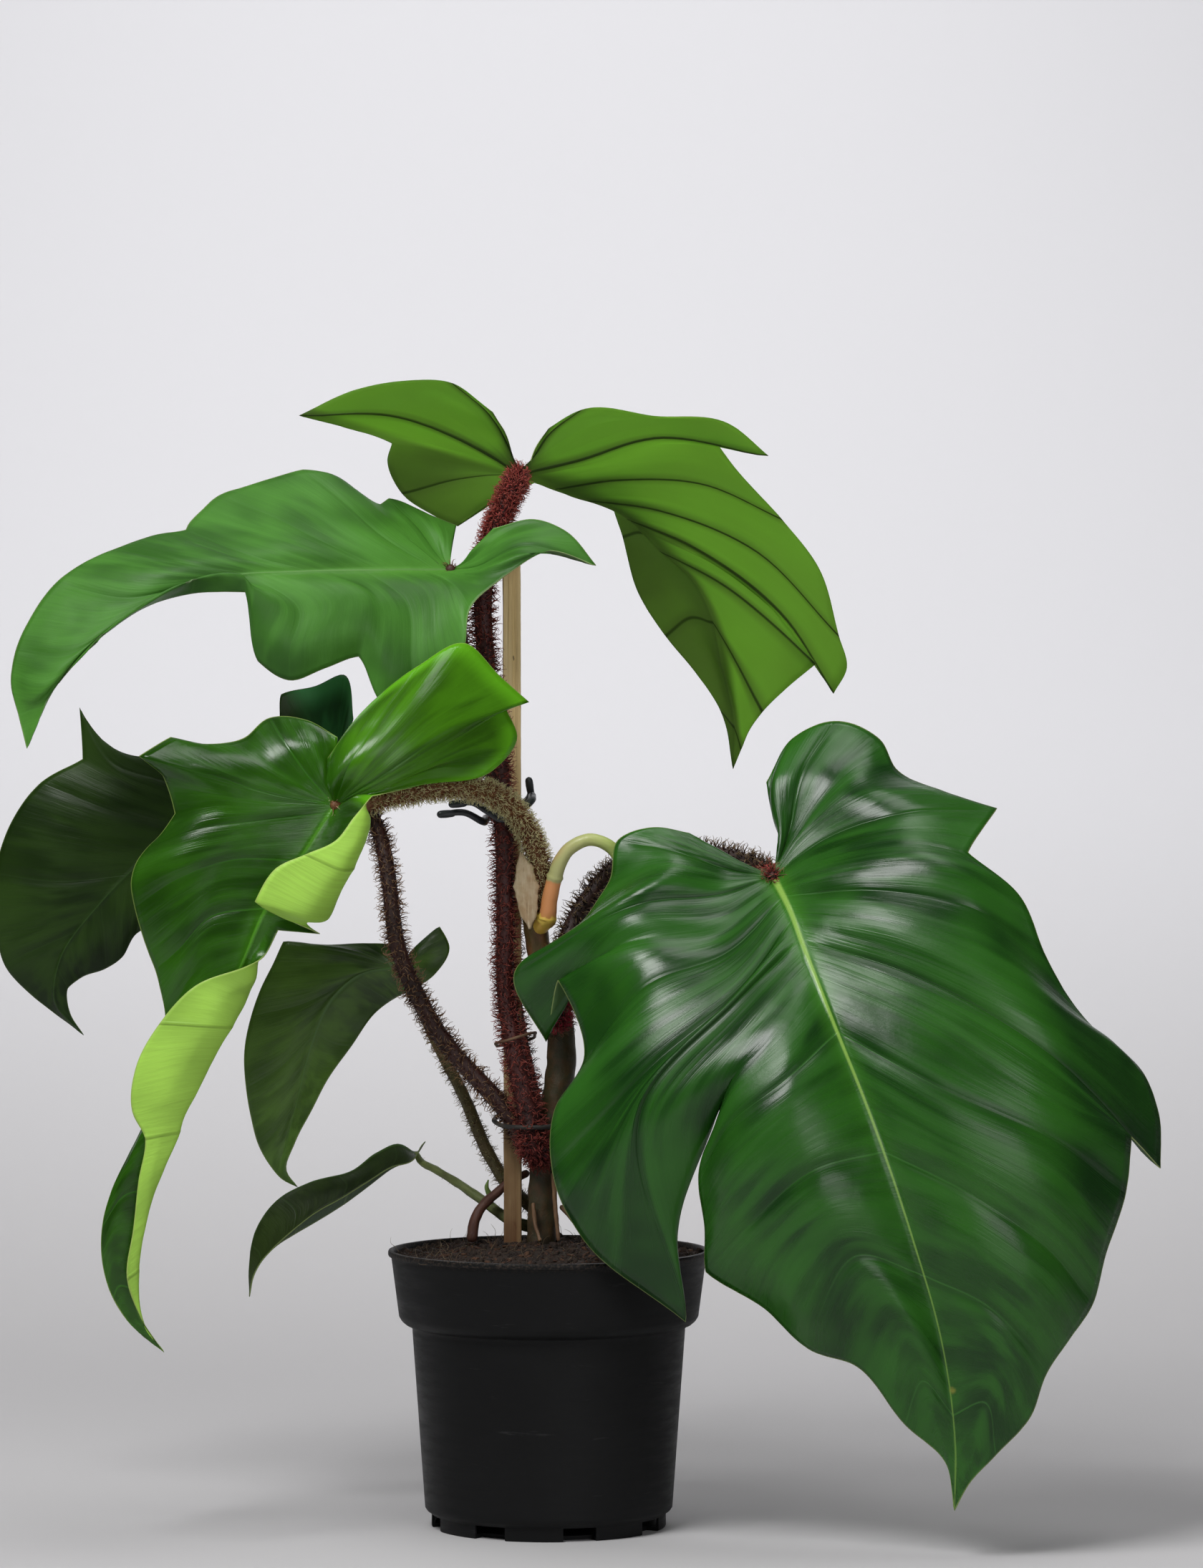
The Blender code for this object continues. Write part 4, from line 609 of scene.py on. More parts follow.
def sweep(name, route, finish, sides=18, step=4.0, closed=False, lumps=0.0, lump_size=6.0, flat=1.0):
    """A round rod through (x, y, z, radius) stations above the datum, with rounded ends."""
    stations = [Vector(p[:3]) for p in route]
    radii = [p[3] for p in route]
    if closed:
        stations.append(stations[0])
        radii.append(radii[0])
    steps = knots_of(stations)
    slopes = tangents(stations, steps)
    if closed:
        slopes[0] = slopes[-1] = (slopes[0] + slopes[-1]) / 2
    spine, widths = [], []
    for i, length in enumerate(steps):
        pieces = max(2, round(length / step))
        for k in range(pieces):
            u = k / pieces
            spine.append(hermite(stations[i], slopes[i], stations[i + 1], slopes[i + 1], length, u))
            ease = u * u * (3 - 2 * u)
            widths.append(radii[i] * (1 - ease) + radii[i + 1] * ease)
    if not closed:
        spine.append(stations[-1])
        widths.append(radii[-1])
        start, end = (spine[0] - spine[1]).normalized(), (spine[-1] - spine[-2]).normalized()
        spine = ([spine[0] + start * widths[0] * reach for reach in (0.95, 0.6)] + spine
                 + [spine[-1] + end * widths[-1] * reach for reach in (0.6, 0.95)])
        widths = [widths[0] * 0.3, widths[0] * 0.8] + widths + [widths[-1] * 0.8, widths[-1] * 0.3]
    count = len(spine)
    ways = []
    for i in range(count):
        ahead = spine[(i + 1) % count] if closed or i < count - 1 else spine[i]
        behind = spine[i - 1] if closed or i > 0 else spine[i]
        ways.append((ahead - behind).normalized())
    across = ways[0].orthogonal().normalized()
    points, shares, total, lengths = [], [], 0.0, [0.0]
    for a, b in zip(spine, spine[1:]):
        total += (b - a).length
        lengths.append(total)
    for i, way in enumerate(ways):
        across = (across - way * across.dot(way)).normalized()
        other = way.cross(across)
        for k in range(sides):
            turn = 2 * math.pi * k / sides
            out = across * math.cos(turn) + other * (math.sin(turn) * flat)
            place = spine[i] + out * widths[i]
            if lumps:
                place += out * (lumps * hills.noise(place / lump_size))
            points.append(place + DATUM)
            shares.append(lengths[i] / total)
    faces, corners = [], []
    for i in range(count if closed else count - 1):
        j = (i + 1) % count
        far = lengths[j] if j else total + (spine[0] - spine[-1]).length
        for k in range(sides):
            n = (k + 1) % sides
            faces.append((i * sides + k, i * sides + n, j * sides + n, j * sides + k))
            low, high = k / sides, (k + 1) / sides
            corners += [(low, lengths[i] / 10), (high, lengths[i] / 10), (high, far / 10), (low, far / 10)]
    if not closed:
        for ring, turned in ((0, True), (count - 1, False)):
            edge = [ring * sides + k for k in range(sides)]
            faces.append(tuple(edge[::-1] if turned else edge))
            corners += [(0.5, lengths[ring] / 10)] * sides
    mesh = bpy.data.meshes.new(name)
    mesh.from_pydata([tuple(p * MM) for p in points], [], faces)
    uv = mesh.uv_layers.new(name="round")
    for loop, corner in zip(uv.data, corners):
        loop.uv = corner
    layer = mesh.attributes.new("share", "FLOAT", "POINT")
    layer.data.foreach_set("value", shares)
    return place_mesh(name, mesh, [finish])


def turned(name, profile, finish, steps=144):
    """Turn a closed profile of (radius, height) about Z."""
    points, faces, rings = [], [], []
    for radius, height in profile:
        if radius < 1e-6:
            rings.append([len(points)] * steps)
            points.append((0.0, 0.0, height * MM))
        else:
            rings.append([len(points) + k for k in range(steps)])
            points += [(radius * MM * math.cos(2 * math.pi * k / steps),
                        radius * MM * math.sin(2 * math.pi * k / steps), height * MM) for k in range(steps)]
    for one, other in zip(rings, rings[1:]):
        for k in range(steps):
            n = (k + 1) % steps
            face = []
            for index in (one[k], other[k], other[n], one[n]):
                if index not in face:
                    face.append(index)
            faces.append(tuple(face))
    mesh = bpy.data.meshes.new(name)
    mesh.from_pydata(points, [], faces)
    grid = bmesh.new()
    grid.from_mesh(mesh)
    bmesh.ops.recalc_face_normals(grid, faces=grid.faces)
    grid.to_mesh(mesh)
    grid.free()
    return place_mesh(name, mesh, [finish])


def block(name, centre, size, turn=0.0):
    """A closed box, turned about Z, in millimetres."""
    grid = bmesh.new()
    bmesh.ops.create_cube(grid, size=1.0)
    across = Matrix.Translation(Vector(centre) * MM) @ Matrix.Rotation(turn, 4, "Z")
    bmesh.ops.transform(grid, matrix=across @ Matrix.Diagonal((*(Vector(size) * MM), 1.0)), verts=grid.verts)
    mesh = bpy.data.meshes.new(name)
    grid.to_mesh(mesh)
    grid.free()
    obj = bpy.data.objects.new(name, mesh)
    bpy.context.scene.collection.objects.link(obj)
    return obj


def settle(obj):
    """Turn the object's modifiers into a plain mesh."""
    graph = bpy.context.evaluated_depsgraph_get()
    mesh = bpy.data.meshes.new_from_object(obj.evaluated_get(graph))
    obj.modifiers.clear()
    obj.data = mesh
    mesh.name = obj.name
    return obj


def discard(*things):
    """Remove objects and collections that only helped to make a piece."""
    for thing in things:
        if isinstance(thing, bpy.types.Collection):
            discard(*thing.objects)
            bpy.data.collections.remove(thing)
        else:
            bpy.data.objects.remove(thing, do_unlink=True)


# ---------------------------------------------------------------- scattering with Geometry Nodes
def scatter_tree():
    """Copies of small shapes over a surface: a tree with named inputs for its sizes and seed."""
    tree = bpy.data.node_groups.new("scatter", "GeometryNodeTree")
    face = tree.interface
    sockets = {}
    for name, kind in (("Surface", "NodeSocketGeometry"), ("Shapes", "NodeSocketCollection"),
                       ("Density", "NodeSocketFloat"), ("Shortest", "NodeSocketFloat"),
                       ("Longest", "NodeSocketFloat"), ("Tilt", "NodeSocketFloat"),
                       ("Sink", "NodeSocketFloat"), ("Seed", "NodeSocketInt"),
                       ("Finish", "NodeSocketMaterial")):
        sockets[name] = face.new_socket(name=name, in_out="INPUT", socket_type=kind).identifier
    face.new_socket(name="Pieces", in_out="OUTPUT", socket_type="NodeSocketGeometry")
    given = tree.nodes.new("NodeGroupInput").outputs
    thickness = add(tree, "GeometryNodeInputNamedAttribute", {"Name": "thick"}, data_type="FLOAT")
    density = add(tree, "ShaderNodeMath", {0: given["Density"], 1: thickness.outputs["Attribute"]},
                  operation="MULTIPLY")
    spread = add(tree, "GeometryNodeDistributePointsOnFaces",
                 {"Mesh": given["Surface"], "Density": density.outputs[0], "Seed": given["Seed"]})
    shapes = add(tree, "GeometryNodeCollectionInfo",
                 {"Collection": given["Shapes"], "Separate Children": True, "Reset Children": True})
    pick = add(tree, "FunctionNodeRandomValue", {"Min": 0, "Max": 40, "Seed": given["Seed"]}, data_type="INT")
    size = add(tree, "FunctionNodeRandomValue",
               {"Min": given["Shortest"], "Max": given["Longest"], "Seed": given["Seed"]}, data_type="FLOAT")
    copies = add(tree, "GeometryNodeInstanceOnPoints",
                 {"Points": spread.outputs["Points"], "Instance": shapes.outputs[0], "Pick Instance": True,
                  "Instance Index": pick.outputs[2], "Rotation": spread.outputs["Rotation"],
                  "Scale": size.outputs[1]})
    lean = add(tree, "ShaderNodeMath", {0: given["Tilt"], 1: -1.0}, operation="MULTIPLY")
    low = add(tree, "ShaderNodeCombineXYZ", {"X": lean.outputs[0], "Y": lean.outputs[0], "Z": -math.pi})
    high = add(tree, "ShaderNodeCombineXYZ", {"X": given["Tilt"], "Y": given["Tilt"], "Z": math.pi})
    swing = add(tree, "FunctionNodeRandomValue",
                {"Min": low.outputs[0], "Max": high.outputs[0], "Seed": given["Seed"]}, data_type="FLOAT_VECTOR")
    turn = add(tree, "FunctionNodeEulerToRotation", {0: swing.outputs[0]})
    turned_copies = add(tree, "GeometryNodeRotateInstances",
                        {"Instances": copies.outputs[0], "Rotation": turn.outputs[0], "Local Space": True})
    down = add(tree, "ShaderNodeCombineXYZ", {"Z": given["Sink"]})
    sunk = add(tree, "GeometryNodeTranslateInstances",
               {"Instances": turned_copies.outputs[0], "Translation": down.outputs[0], "Local Space": True})
    real = add(tree, "GeometryNodeRealizeInstances", {"Geometry": sunk.outputs[0]})
    painted = add(tree, "GeometryNodeSetMaterial", {"Geometry": real.outputs[0], "Material": given["Finish"]})
    end = tree.nodes.new("NodeGroupOutput")
    tree.links.new(painted.outputs[0], end.inputs[0])
    return tree, sockets


def scatter(name, ground, shapes, finish, density, shortest, longest, tilt, sink, seed):
    """Scatter shapes over a surface. Lengths are in millimetres, density in pieces to a square centimetre."""
    obj = bpy.data.objects.new(name, ground.data.copy())
    bpy.context.scene.collection.objects.link(obj)
    grow = obj.modifiers.new("scatter", "NODES")
    grow.node_group = SCATTER
    for key, value in (("Shapes", shapes), ("Density", density * 1e4), ("Shortest", shortest * MM),
                       ("Longest", longest * MM), ("Tilt", tilt), ("Sink", sink), ("Seed", seed),
                       ("Finish", finish)):
        grow[INPUTS[key]] = value
    settle(obj)
    for key in ("thick", "share"):
        if key in obj.data.attributes:
            obj.data.attributes.remove(obj.data.attributes[key])
    return obj


def shape_collection(name, makers):
    collection = bpy.data.collections.new(name)
    bpy.context.scene.collection.children.link(collection)
    for number, (points, faces, reach) in enumerate(makers):
        mesh = bpy.data.meshes.new("%s_%02d" % (name, number))
        mesh.from_pydata(points, [], faces)
        mesh.attributes.new("reach", "FLOAT", "POINT").data.foreach_set("value", reach)
        for polygon in mesh.polygons:
            polygon.use_smooth = True
        obj = bpy.data.objects.new(mesh.name, mesh)
        collection.objects.link(obj)
    return collection


def strand(bends, width, rings=5, sides=3, flat=1.0):
    """A tapering hair of length 1 that leaves along +Z and turns by each bend in turn, in radians."""
    points, faces = [], []
    place = Vector((0.0, 0.0, -0.06))
    way = Vector((0.0, 0.0, 1.0))
    for ring in range(rings):
        here = width * (1.0 - 0.72 * ring / (rings - 1))
        side = way.orthogonal().normalized() if ring == 0 else (side - way * side.dot(way)).normalized()
        other = way.cross(side)
        for k in range(sides):
            turn = 2 * math.pi * k / sides
            points.append(place + (side * math.cos(turn) + other * (math.sin(turn) * flat)) * here / 2)
        if ring < rings - 1:
            place = place + way * (1.0 / (rings - 1))
            bend = bends[ring % len(bends)]
            way.rotate(Euler((bend[0], bend[1], 0.0)))
            way.normalize()
    for ring in range(rings - 1):
        for k in range(sides):
            n = (k + 1) % sides
            a, b = ring * sides, (ring + 1) * sides
            faces.append((a + k, a + n, b + n, b + k))
    faces.append(tuple(range(sides))[::-1])
    faces.append(tuple((rings - 1) * sides + k for k in range(sides)))
    return [tuple(p) for p in points], faces, [k // sides / (rings - 1) for k in range(len(points))]


def crumb(seed, squash, rough, level=1):
    """A rough lump about 1 across."""
    grid = bmesh.new()
    bmesh.ops.create_icosphere(grid, subdivisions=level, radius=0.5)
    shift = Vector((seed * 7.3, seed * 3.1, seed * 5.7))
    for vert in grid.verts:
        grow = 1.0 + rough * hills.noise(vert.co * 2.6 + shift)
        vert.co = Vector((vert.co.x * grow, vert.co.y * grow * squash[0], vert.co.z * grow * squash[1]))
    grid.verts.ensure_lookup_table()
    points = [tuple(v.co) for v in grid.verts]
    faces = [tuple(v.index for v in f.verts) for f in grid.faces]
    grid.free()
    return points, faces, [0.5] * len(points)


# ---------------------------------------------------------------- node helpers
def add(tree, kind, wires=None, **settings):
    """A node with its settings, and its inputs linked or set."""
    node = tree.nodes.new(kind)
    for key, value in settings.items():
        setattr(node, key, value)
    for key, value in (wires or {}).items():
        if isinstance(key, int):
            socket = node.inputs[key]
        else:
            socket = [s for s in node.inputs if s.name == key and s.enabled][0]
        if isinstance(value, bpy.types.NodeSocket):
            tree.links.new(value, socket)
        elif socket.type == "RGBA":
            socket.default_value = (*value, 1.0)
        else:
            socket.default_value = value
    return node


def sums(tree, operation, *terms, clamp=False):
    """The result of one sum on values or sockets."""
    node = add(tree, "ShaderNodeMath", dict(enumerate(terms)), operation=operation, use_clamp=clamp)
    return node.outputs[0]


def eased(tree, value, low, high, start=0.0, end=1.0):
    """Runs smoothly from start to end as value goes from low to high."""
    node = add(tree, "ShaderNodeMapRange", {"Value": value, "From Min": low, "From Max": high,
                                            "To Min": start, "To Max": end}, interpolation_type="SMOOTHSTEP")
    return node.outputs[0]


def blend(tree, share, one, other, how="MIX"):
    """A share of the way from one colour to another."""
    node = add(tree, "ShaderNodeMix", {0: share, 6: one, 7: other}, data_type="RGBA", blend_type=how)
    return node.outputs[2]


def mottle(tree, vector, scale, detail=3.0, rough=0.55, distort=0.0):
    """Cloudy noise, from 0 to 1."""
    node = add(tree, "ShaderNodeTexNoise", {"Vector": vector, "Scale": scale, "Detail": detail,
                                            "Roughness": rough, "Distortion": distort})
    return node.outputs["Fac"]


def stretched(tree, vector, scale):
    """The same coordinates, scaled along each axis."""
    return add(tree, "ShaderNodeMapping", {"Vector": vector, "Scale": scale}).outputs[0]


def attribute(tree, name):
    """A value that is stored at the points of the mesh."""
    return add(tree, "ShaderNodeAttribute", attribute_name=name).outputs["Fac"]


def blank(name):
    """A new material, its node tree, its shader and the object's own coordinates."""
    made = bpy.data.materials.new(name)
    made.use_nodes = True
    shader = made.node_tree.nodes["Principled BSDF"]
    place = add(made.node_tree, "ShaderNodeTexCoord").outputs["Object"]
    return made, made.node_tree, shader, place


def connect(tree, shader, colour, rough=None, height=None, depth=0.0003, strength=1.0, **constants):
    """Give a shader its colour, roughness and bumps, and set other sockets to constants."""
    tree.links.new(colour, shader.inputs["Base Color"])
    if rough is not None:
        tree.links.new(rough, shader.inputs["Roughness"])
    if height is not None:
        bump = add(tree, "ShaderNodeBump", {"Height": height, "Distance": depth, "Strength": strength})
        tree.links.new(bump.outputs[0], shader.inputs["Normal"])
    for key, value in constants.items():
        shader.inputs[key.replace("_", " ")].default_value = value


def let_light_through(tree, shader, colour, share):
    """Part of the light that falls on a thin blade comes out on its other side."""
    through = add(tree, "ShaderNodeBsdfTranslucent", {"Color": colour})
    both = add(tree, "ShaderNodeMixShader", {0: share, 1: shader.outputs[0], 2: through.outputs[0]})
    tree.links.new(both.outputs[0], tree.nodes["Material Output"].inputs["Surface"])


# ---------------------------------------------------------------- finishes
def side_of(tree, place, line, one, other):
    """A share that runs from one to the other across a slanting line in the X-Z plane: (x, z, middle, half width)."""
    across = add(tree, "ShaderNodeVectorMath", {0: place, 1: (line[0], 0.0, line[1])}, operation="DOT_PRODUCT")
    return eased(tree, across.outputs["Value"], (line[2] - line[3]) * MM, (line[2] + line[3]) * MM, one, other)


def leaf_finishes(name, look):
    """The upper face, the underside and the rim of one leaf.

    zone is a slanting line past which the upper face takes painted light in the colour painted_light_colour,
    with painted shade in blotches inward from the margin. shade is two such lines, for a lobe and for the
    blade, and the tint of the painted shade put into the light let through the underside there, beside
    its midrib and along its veins.
    """
    dark, light, young, under, vein = look["dark"], look["light"], look["young"], look["under"], look["vein"]
    made, tree, shader, place = blank(name + "_upper")
    uv = add(tree, "ShaderNodeUVMap", uv_map="blade").outputs[0]
    grain = mottle(tree, stretched(tree, uv, (2.2, 26.0, 1.0)), 1.0, 3.0, 0.6)
    wide = mottle(tree, stretched(tree, uv, (1.6, 4.0, 1.0)), 1.0, 2.0, 0.5)
    patch = mottle(tree, place, 13.0, 2.0)
    fine = mottle(tree, place, 420.0, 3.0, 0.6)
    colour = blend(tree, eased(tree, patch, 0.36, 0.66), dark, light)
    colour = blend(tree, eased(tree, wide, 0.45, 0.75, 0.0, 0.55), colour, light)
    colour = blend(tree, eased(tree, grain, 0.35, 0.75, 0.0, 0.22), colour, dark)
    # Painted light: the swells between the side veins are painted lighter, in bands.
    between = sums(tree, "MULTIPLY", eased(tree, attribute(tree, "from_vein"), 1.0, 9.0),
                   eased(tree, wide, 0.38, 0.60, 0.0, look.get("between_vein_light", 0.3)))
    colour = blend(tree, between, colour, tuple(1.5 * c for c in light))
    # Painted light: past the zone line the upper face is painted lighter, with painted shade in blotches inward from
    # the margin.
    if "zone" in look:
        bright = side_of(tree, place, look["zone"], 0.0, 0.9)
        inner = blend(tree, eased(tree, wide, 0.40, 0.62), tuple(0.50 * c for c in look["painted_light_colour"]),
                      tuple(0.26 * c for c in look["painted_light_colour"]))
        lit_patch_with_crease_shade = blend(tree, eased(tree, attribute(tree, "from_margin"), 2.0, 20.0), look["painted_light_colour"], inner)
        colour = blend(tree, bright, colour, lit_patch_with_crease_shade)
    side_vein = eased(tree, attribute(tree, "from_vein"), 0.2, look.get("vein_width", 1.0), 1.0, 0.0)
    fading = eased(tree, attribute(tree, "from_midrib"), 4.0, 100.0, look.get("vein_show", 0.5), 0.03)
    colour = blend(tree, sums(tree, "MULTIPLY", side_vein, fading), colour, vein)
    down = attribute(tree, "down")
    halo = eased(tree, attribute(tree, "from_midrib"), 1.0, 15.0, 1.0, 0.0)
    colour = blend(tree, sums(tree, "MULTIPLY", halo, eased(tree, down, 0.0, 0.75, 0.45, 0.0)), colour, young)
    narrow = sums(tree, "MULTIPLY", attribute(tree, "from_midrib"), eased(tree, down, 0.05, 0.8, 1.0, 3.2))
    midrib = eased(tree, narrow, 0.7, look.get("rib_width", 2.4), 1.0, 0.0)
    colour = blend(tree, sums(tree, "MULTIPLY", midrib, eased(tree, down, 0.1, 0.9, 1.0, 0.45)), colour, look["rib"])
    edge = eased(tree, attribute(tree, "from_margin"), 0.2, 0.9, 0.55, 0.0)
    colour = blend(tree, edge, colour, look["rim"])
    for spot, size, tint in look.get("scars", ()):
        near = add(tree, "ShaderNodeVectorMath", {0: place, 1: tuple(c * MM for c in spot)}, operation="DISTANCE")
        ragged = sums(tree, "MULTIPLY_ADD", mottle(tree, place, 260.0, 2.0), 0.004, near.outputs["Value"])
        mask = eased(tree, ragged, (0.6 * size) * MM + 0.0016, (1.3 * size) * MM + 0.0024, 0.9, 0.0)
        colour = blend(tree, mask, colour, tint)
    rough = eased(tree, sums(tree, "ADD", grain, wide), 0.7, 1.3, look["gloss"][0], look["gloss"][1])
    height = sums(tree, "MULTIPLY_ADD", grain, 1.4, sums(tree, "MULTIPLY", fine, 0.35))
    height = sums(tree, "MULTIPLY_ADD", side_vein, -0.5, height)
    connect(tree, shader, colour, rough, height, 0.0003, look.get("bump", 0.45), IOR=1.45,
            Specular_IOR_Level=look.get("specular", 0.5))
    glow = blend(tree, 0.5, colour, look["through"])
    let_light_through(tree, shader, glow, look["glow"])

    back, tree, shader, place = blank(name + "_under")
    uv = add(tree, "ShaderNodeUVMap", uv_map="blade").outputs[0]
    grain = mottle(tree, stretched(tree, uv, (2.2, 26.0, 1.0)), 1.0, 3.0, 0.6)
    patch = mottle(tree, place, 11.0, 2.0)
    low = tuple(0.62 * c for c in under)
    colour = blend(tree, eased(tree, patch, 0.36, 0.68), under, low)
    colour = blend(tree, eased(tree, grain, 0.35, 0.75, 0.0, 0.3), colour, low)
    ribs = eased(tree, attribute(tree, "from_vein"), 0.3, 1.7, 1.0, 0.0)
    colour = blend(tree, sums(tree, "MULTIPLY", ribs, look.get("under_veins", 0.6)), colour, look["under_vein"])
    midrib = eased(tree, attribute(tree, "from_midrib"), 1.0, 3.2, 0.85, 0.0)
    colour = blend(tree, midrib, colour, look["under_vein"])
    edge = eased(tree, attribute(tree, "from_margin"), 0.3, 1.4, 0.6, 0.0)
    colour = blend(tree, edge, colour, look["rim"])
    height = sums(tree, "MULTIPLY_ADD", ribs, 1.2, sums(tree, "MULTIPLY", grain, 0.8))
    rough = eased(tree, grain, 0.3, 0.7, 0.42, 0.58)
    connect(tree, shader, colour, rough, height, 0.0006, 0.7, IOR=1.45, Specular_IOR_Level=0.35)
    glow = blend(tree, look.get("thin", 0.5), colour, look["through"])
    # Painted shade: where the blade is turned from the light, beside its midrib and along its veins, the light let
    # through the underside is darkened towards the shade tint.
    if "shade" in look:
        lobe, border, tint = look["shade"]
        half = add(tree, "ShaderNodeSeparateXYZ", {0: uv}).outputs["Y"]
        lobe_painted_shade = sums(tree, "MULTIPLY", side_of(tree, place, lobe, 1.0, 0.0),
                         side_of(tree, place, border, 1.0, 0.0))
        blade_painted_shade = sums(tree, "MULTIPLY", eased(tree, half, OTHER_HALF / 2 - 1, OTHER_HALF / 2 + 1, 1.0, 0.0),
                          side_of(tree, place, border, 0.0, 1.0))
        painted_shade_mask = sums(tree, "ADD", lobe_painted_shade, blade_painted_shade, clamp=True)
        vein_painted_shade = sums(tree, "MULTIPLY", eased(tree, attribute(tree, "from_vein"), 0.5, 9.0, 0.75, 0.0),
                     eased(tree, attribute(tree, "from_midrib"), 10.0, 90.0, 1.0, 0.45))
        glow = blend(tree, vein_painted_shade, glow, tuple(0.8 * c for c in tint))
        glow = blend(tree, eased(tree, attribute(tree, "from_midrib"), 4.0, 26.0, 0.85, 0.0), glow, tint)
        glow = blend(tree, sums(tree, "MULTIPLY", painted_shade_mask, eased(tree, patch, 0.3, 0.7, 1.0, 0.65)), glow, tint)
        glow = blend(tree, ribs, glow, tuple(0.35 * c for c in tint))
    let_light_through(tree, shader, glow, look["glow"])

    rim, tree, shader, place = blank(name + "_rim")
    colour = blend(tree, mottle(tree, place, 90.0), look["rim"], tuple(0.6 * c for c in look["rim"]))
    connect(tree, shader, colour, None, None, Roughness=0.5)
    return [made, back, rim]


def skin(name, base, second, third, rough=(0.45, 0.7), long_scale=(3.0, 1.2, 1.0), bump=0.8, depth=0.0006):
    """Stem and root skin: three colours in streaks along its length, with fine pits."""
    made, tree, shader, place = blank(name)
    uv = add(tree, "ShaderNodeUVMap", uv_map="round").outputs[0]
    streak = mottle(tree, stretched(tree, uv, (long_scale[0] * 3, long_scale[1], 1.0)), 1.0, 4.0, 0.6)
    patch = mottle(tree, place, 38.0, 3.0)
    pits = mottle(tree, place, 900.0, 3.0, 0.65)
    colour = blend(tree, eased(tree, streak, 0.35, 0.68), base, second)
    colour = blend(tree, eased(tree, patch, 0.48, 0.72), colour, third)
    colour = blend(tree, eased(tree, pits, 0.55, 0.75, 0.0, 0.4), colour, tuple(0.5 * c for c in base))
    height = sums(tree, "MULTIPLY_ADD", streak, 1.0, sums(tree, "MULTIPLY", pits, 0.5))
    connect(tree, shader, colour, eased(tree, patch, 0.3, 0.7, *rough), height, depth, bump)
    return made


def hair_finish(name, root, tip):
    """Hairs and scales, each a little different in tone."""
    made, tree, shader, place = blank(name)
    tone = mottle(tree, place, 240.0, 2.0)
    fine = mottle(tree, place, 1600.0, 2.0)
    reach = sums(tree, "MULTIPLY_ADD", tone, 0.7, attribute(tree, "reach"))
    colour = blend(tree, eased(tree, reach, 0.45, 1.15), root, tip)
    colour = blend(tree, eased(tree, fine, 0.5, 0.8, 0.0, 0.4), colour, tuple(0.4 * c for c in root))
    connect(tree, shader, colour, eased(tree, tone, 0.3, 0.7, 0.5, 0.7), None)
    return made


def pot_finish():
    """Charcoal moulded plastic: faint swirl lines from the mould, dust and scuffs."""
    made, tree, shader, place = blank("charcoal_plastic")
    cloud = mottle(tree, place, 9.0, 4.0)
    scuff = mottle(tree, stretched(tree, place, (30.0, 30.0, 240.0)), 1.0, 4.0, 0.7)
    speck = mottle(tree, place, 700.0, 2.0)
    colour = blend(tree, eased(tree, cloud, 0.35, 0.7), (0.0048, 0.0050, 0.0052), (0.0076, 0.0079, 0.0082))
    colour = blend(tree, eased(tree, scuff, 0.62, 0.8, 0.0, 0.35), colour, (0.06, 0.06, 0.06))
    height_of = add(tree, "ShaderNodeSeparateXYZ", {0: place}).outputs["Z"]
    near_lip = eased(tree, height_of, (POT_HEIGHT - 7.0) * MM, (POT_HEIGHT + 0.5) * MM)
    dust = sums(tree, "MULTIPLY", near_lip, eased(tree, speck, 0.42, 0.7, 0.0, 0.4))
    colour = blend(tree, dust, colour, (0.11, 0.08, 0.06))
    rough = eased(tree, sums(tree, "ADD", cloud, scuff), 0.75, 1.25, 0.44, 0.60)
    height = sums(tree, "MULTIPLY_ADD", speck, 0.5, scuff)
    connect(tree, shader, colour, rough, height, 0.00012, 0.5, IOR=1.5, Specular_IOR_Level=0.15)
    return made


def soil_finish(name, dark, light, depth=0.0012):
    """Peat, bark or root fibre: two tones in lumps, with dark pits."""
    made, tree, shader, place = blank(name)
    lump = mottle(tree, place, 120.0, 5.0, 0.7)
    fine = mottle(tree, place, 900.0, 4.0, 0.7)
    colour = blend(tree, eased(tree, lump, 0.35, 0.7), dark, light)
    colour = blend(tree, eased(tree, fine, 0.45, 0.75, 0.0, 0.7), colour, tuple(0.35 * c for c in dark))
    height = sums(tree, "ADD", lump, sums(tree, "MULTIPLY", fine, 0.6))
    connect(tree, shader, colour, eased(tree, fine, 0.3, 0.7, 0.8, 1.0), height, depth, 1.0)
    return made


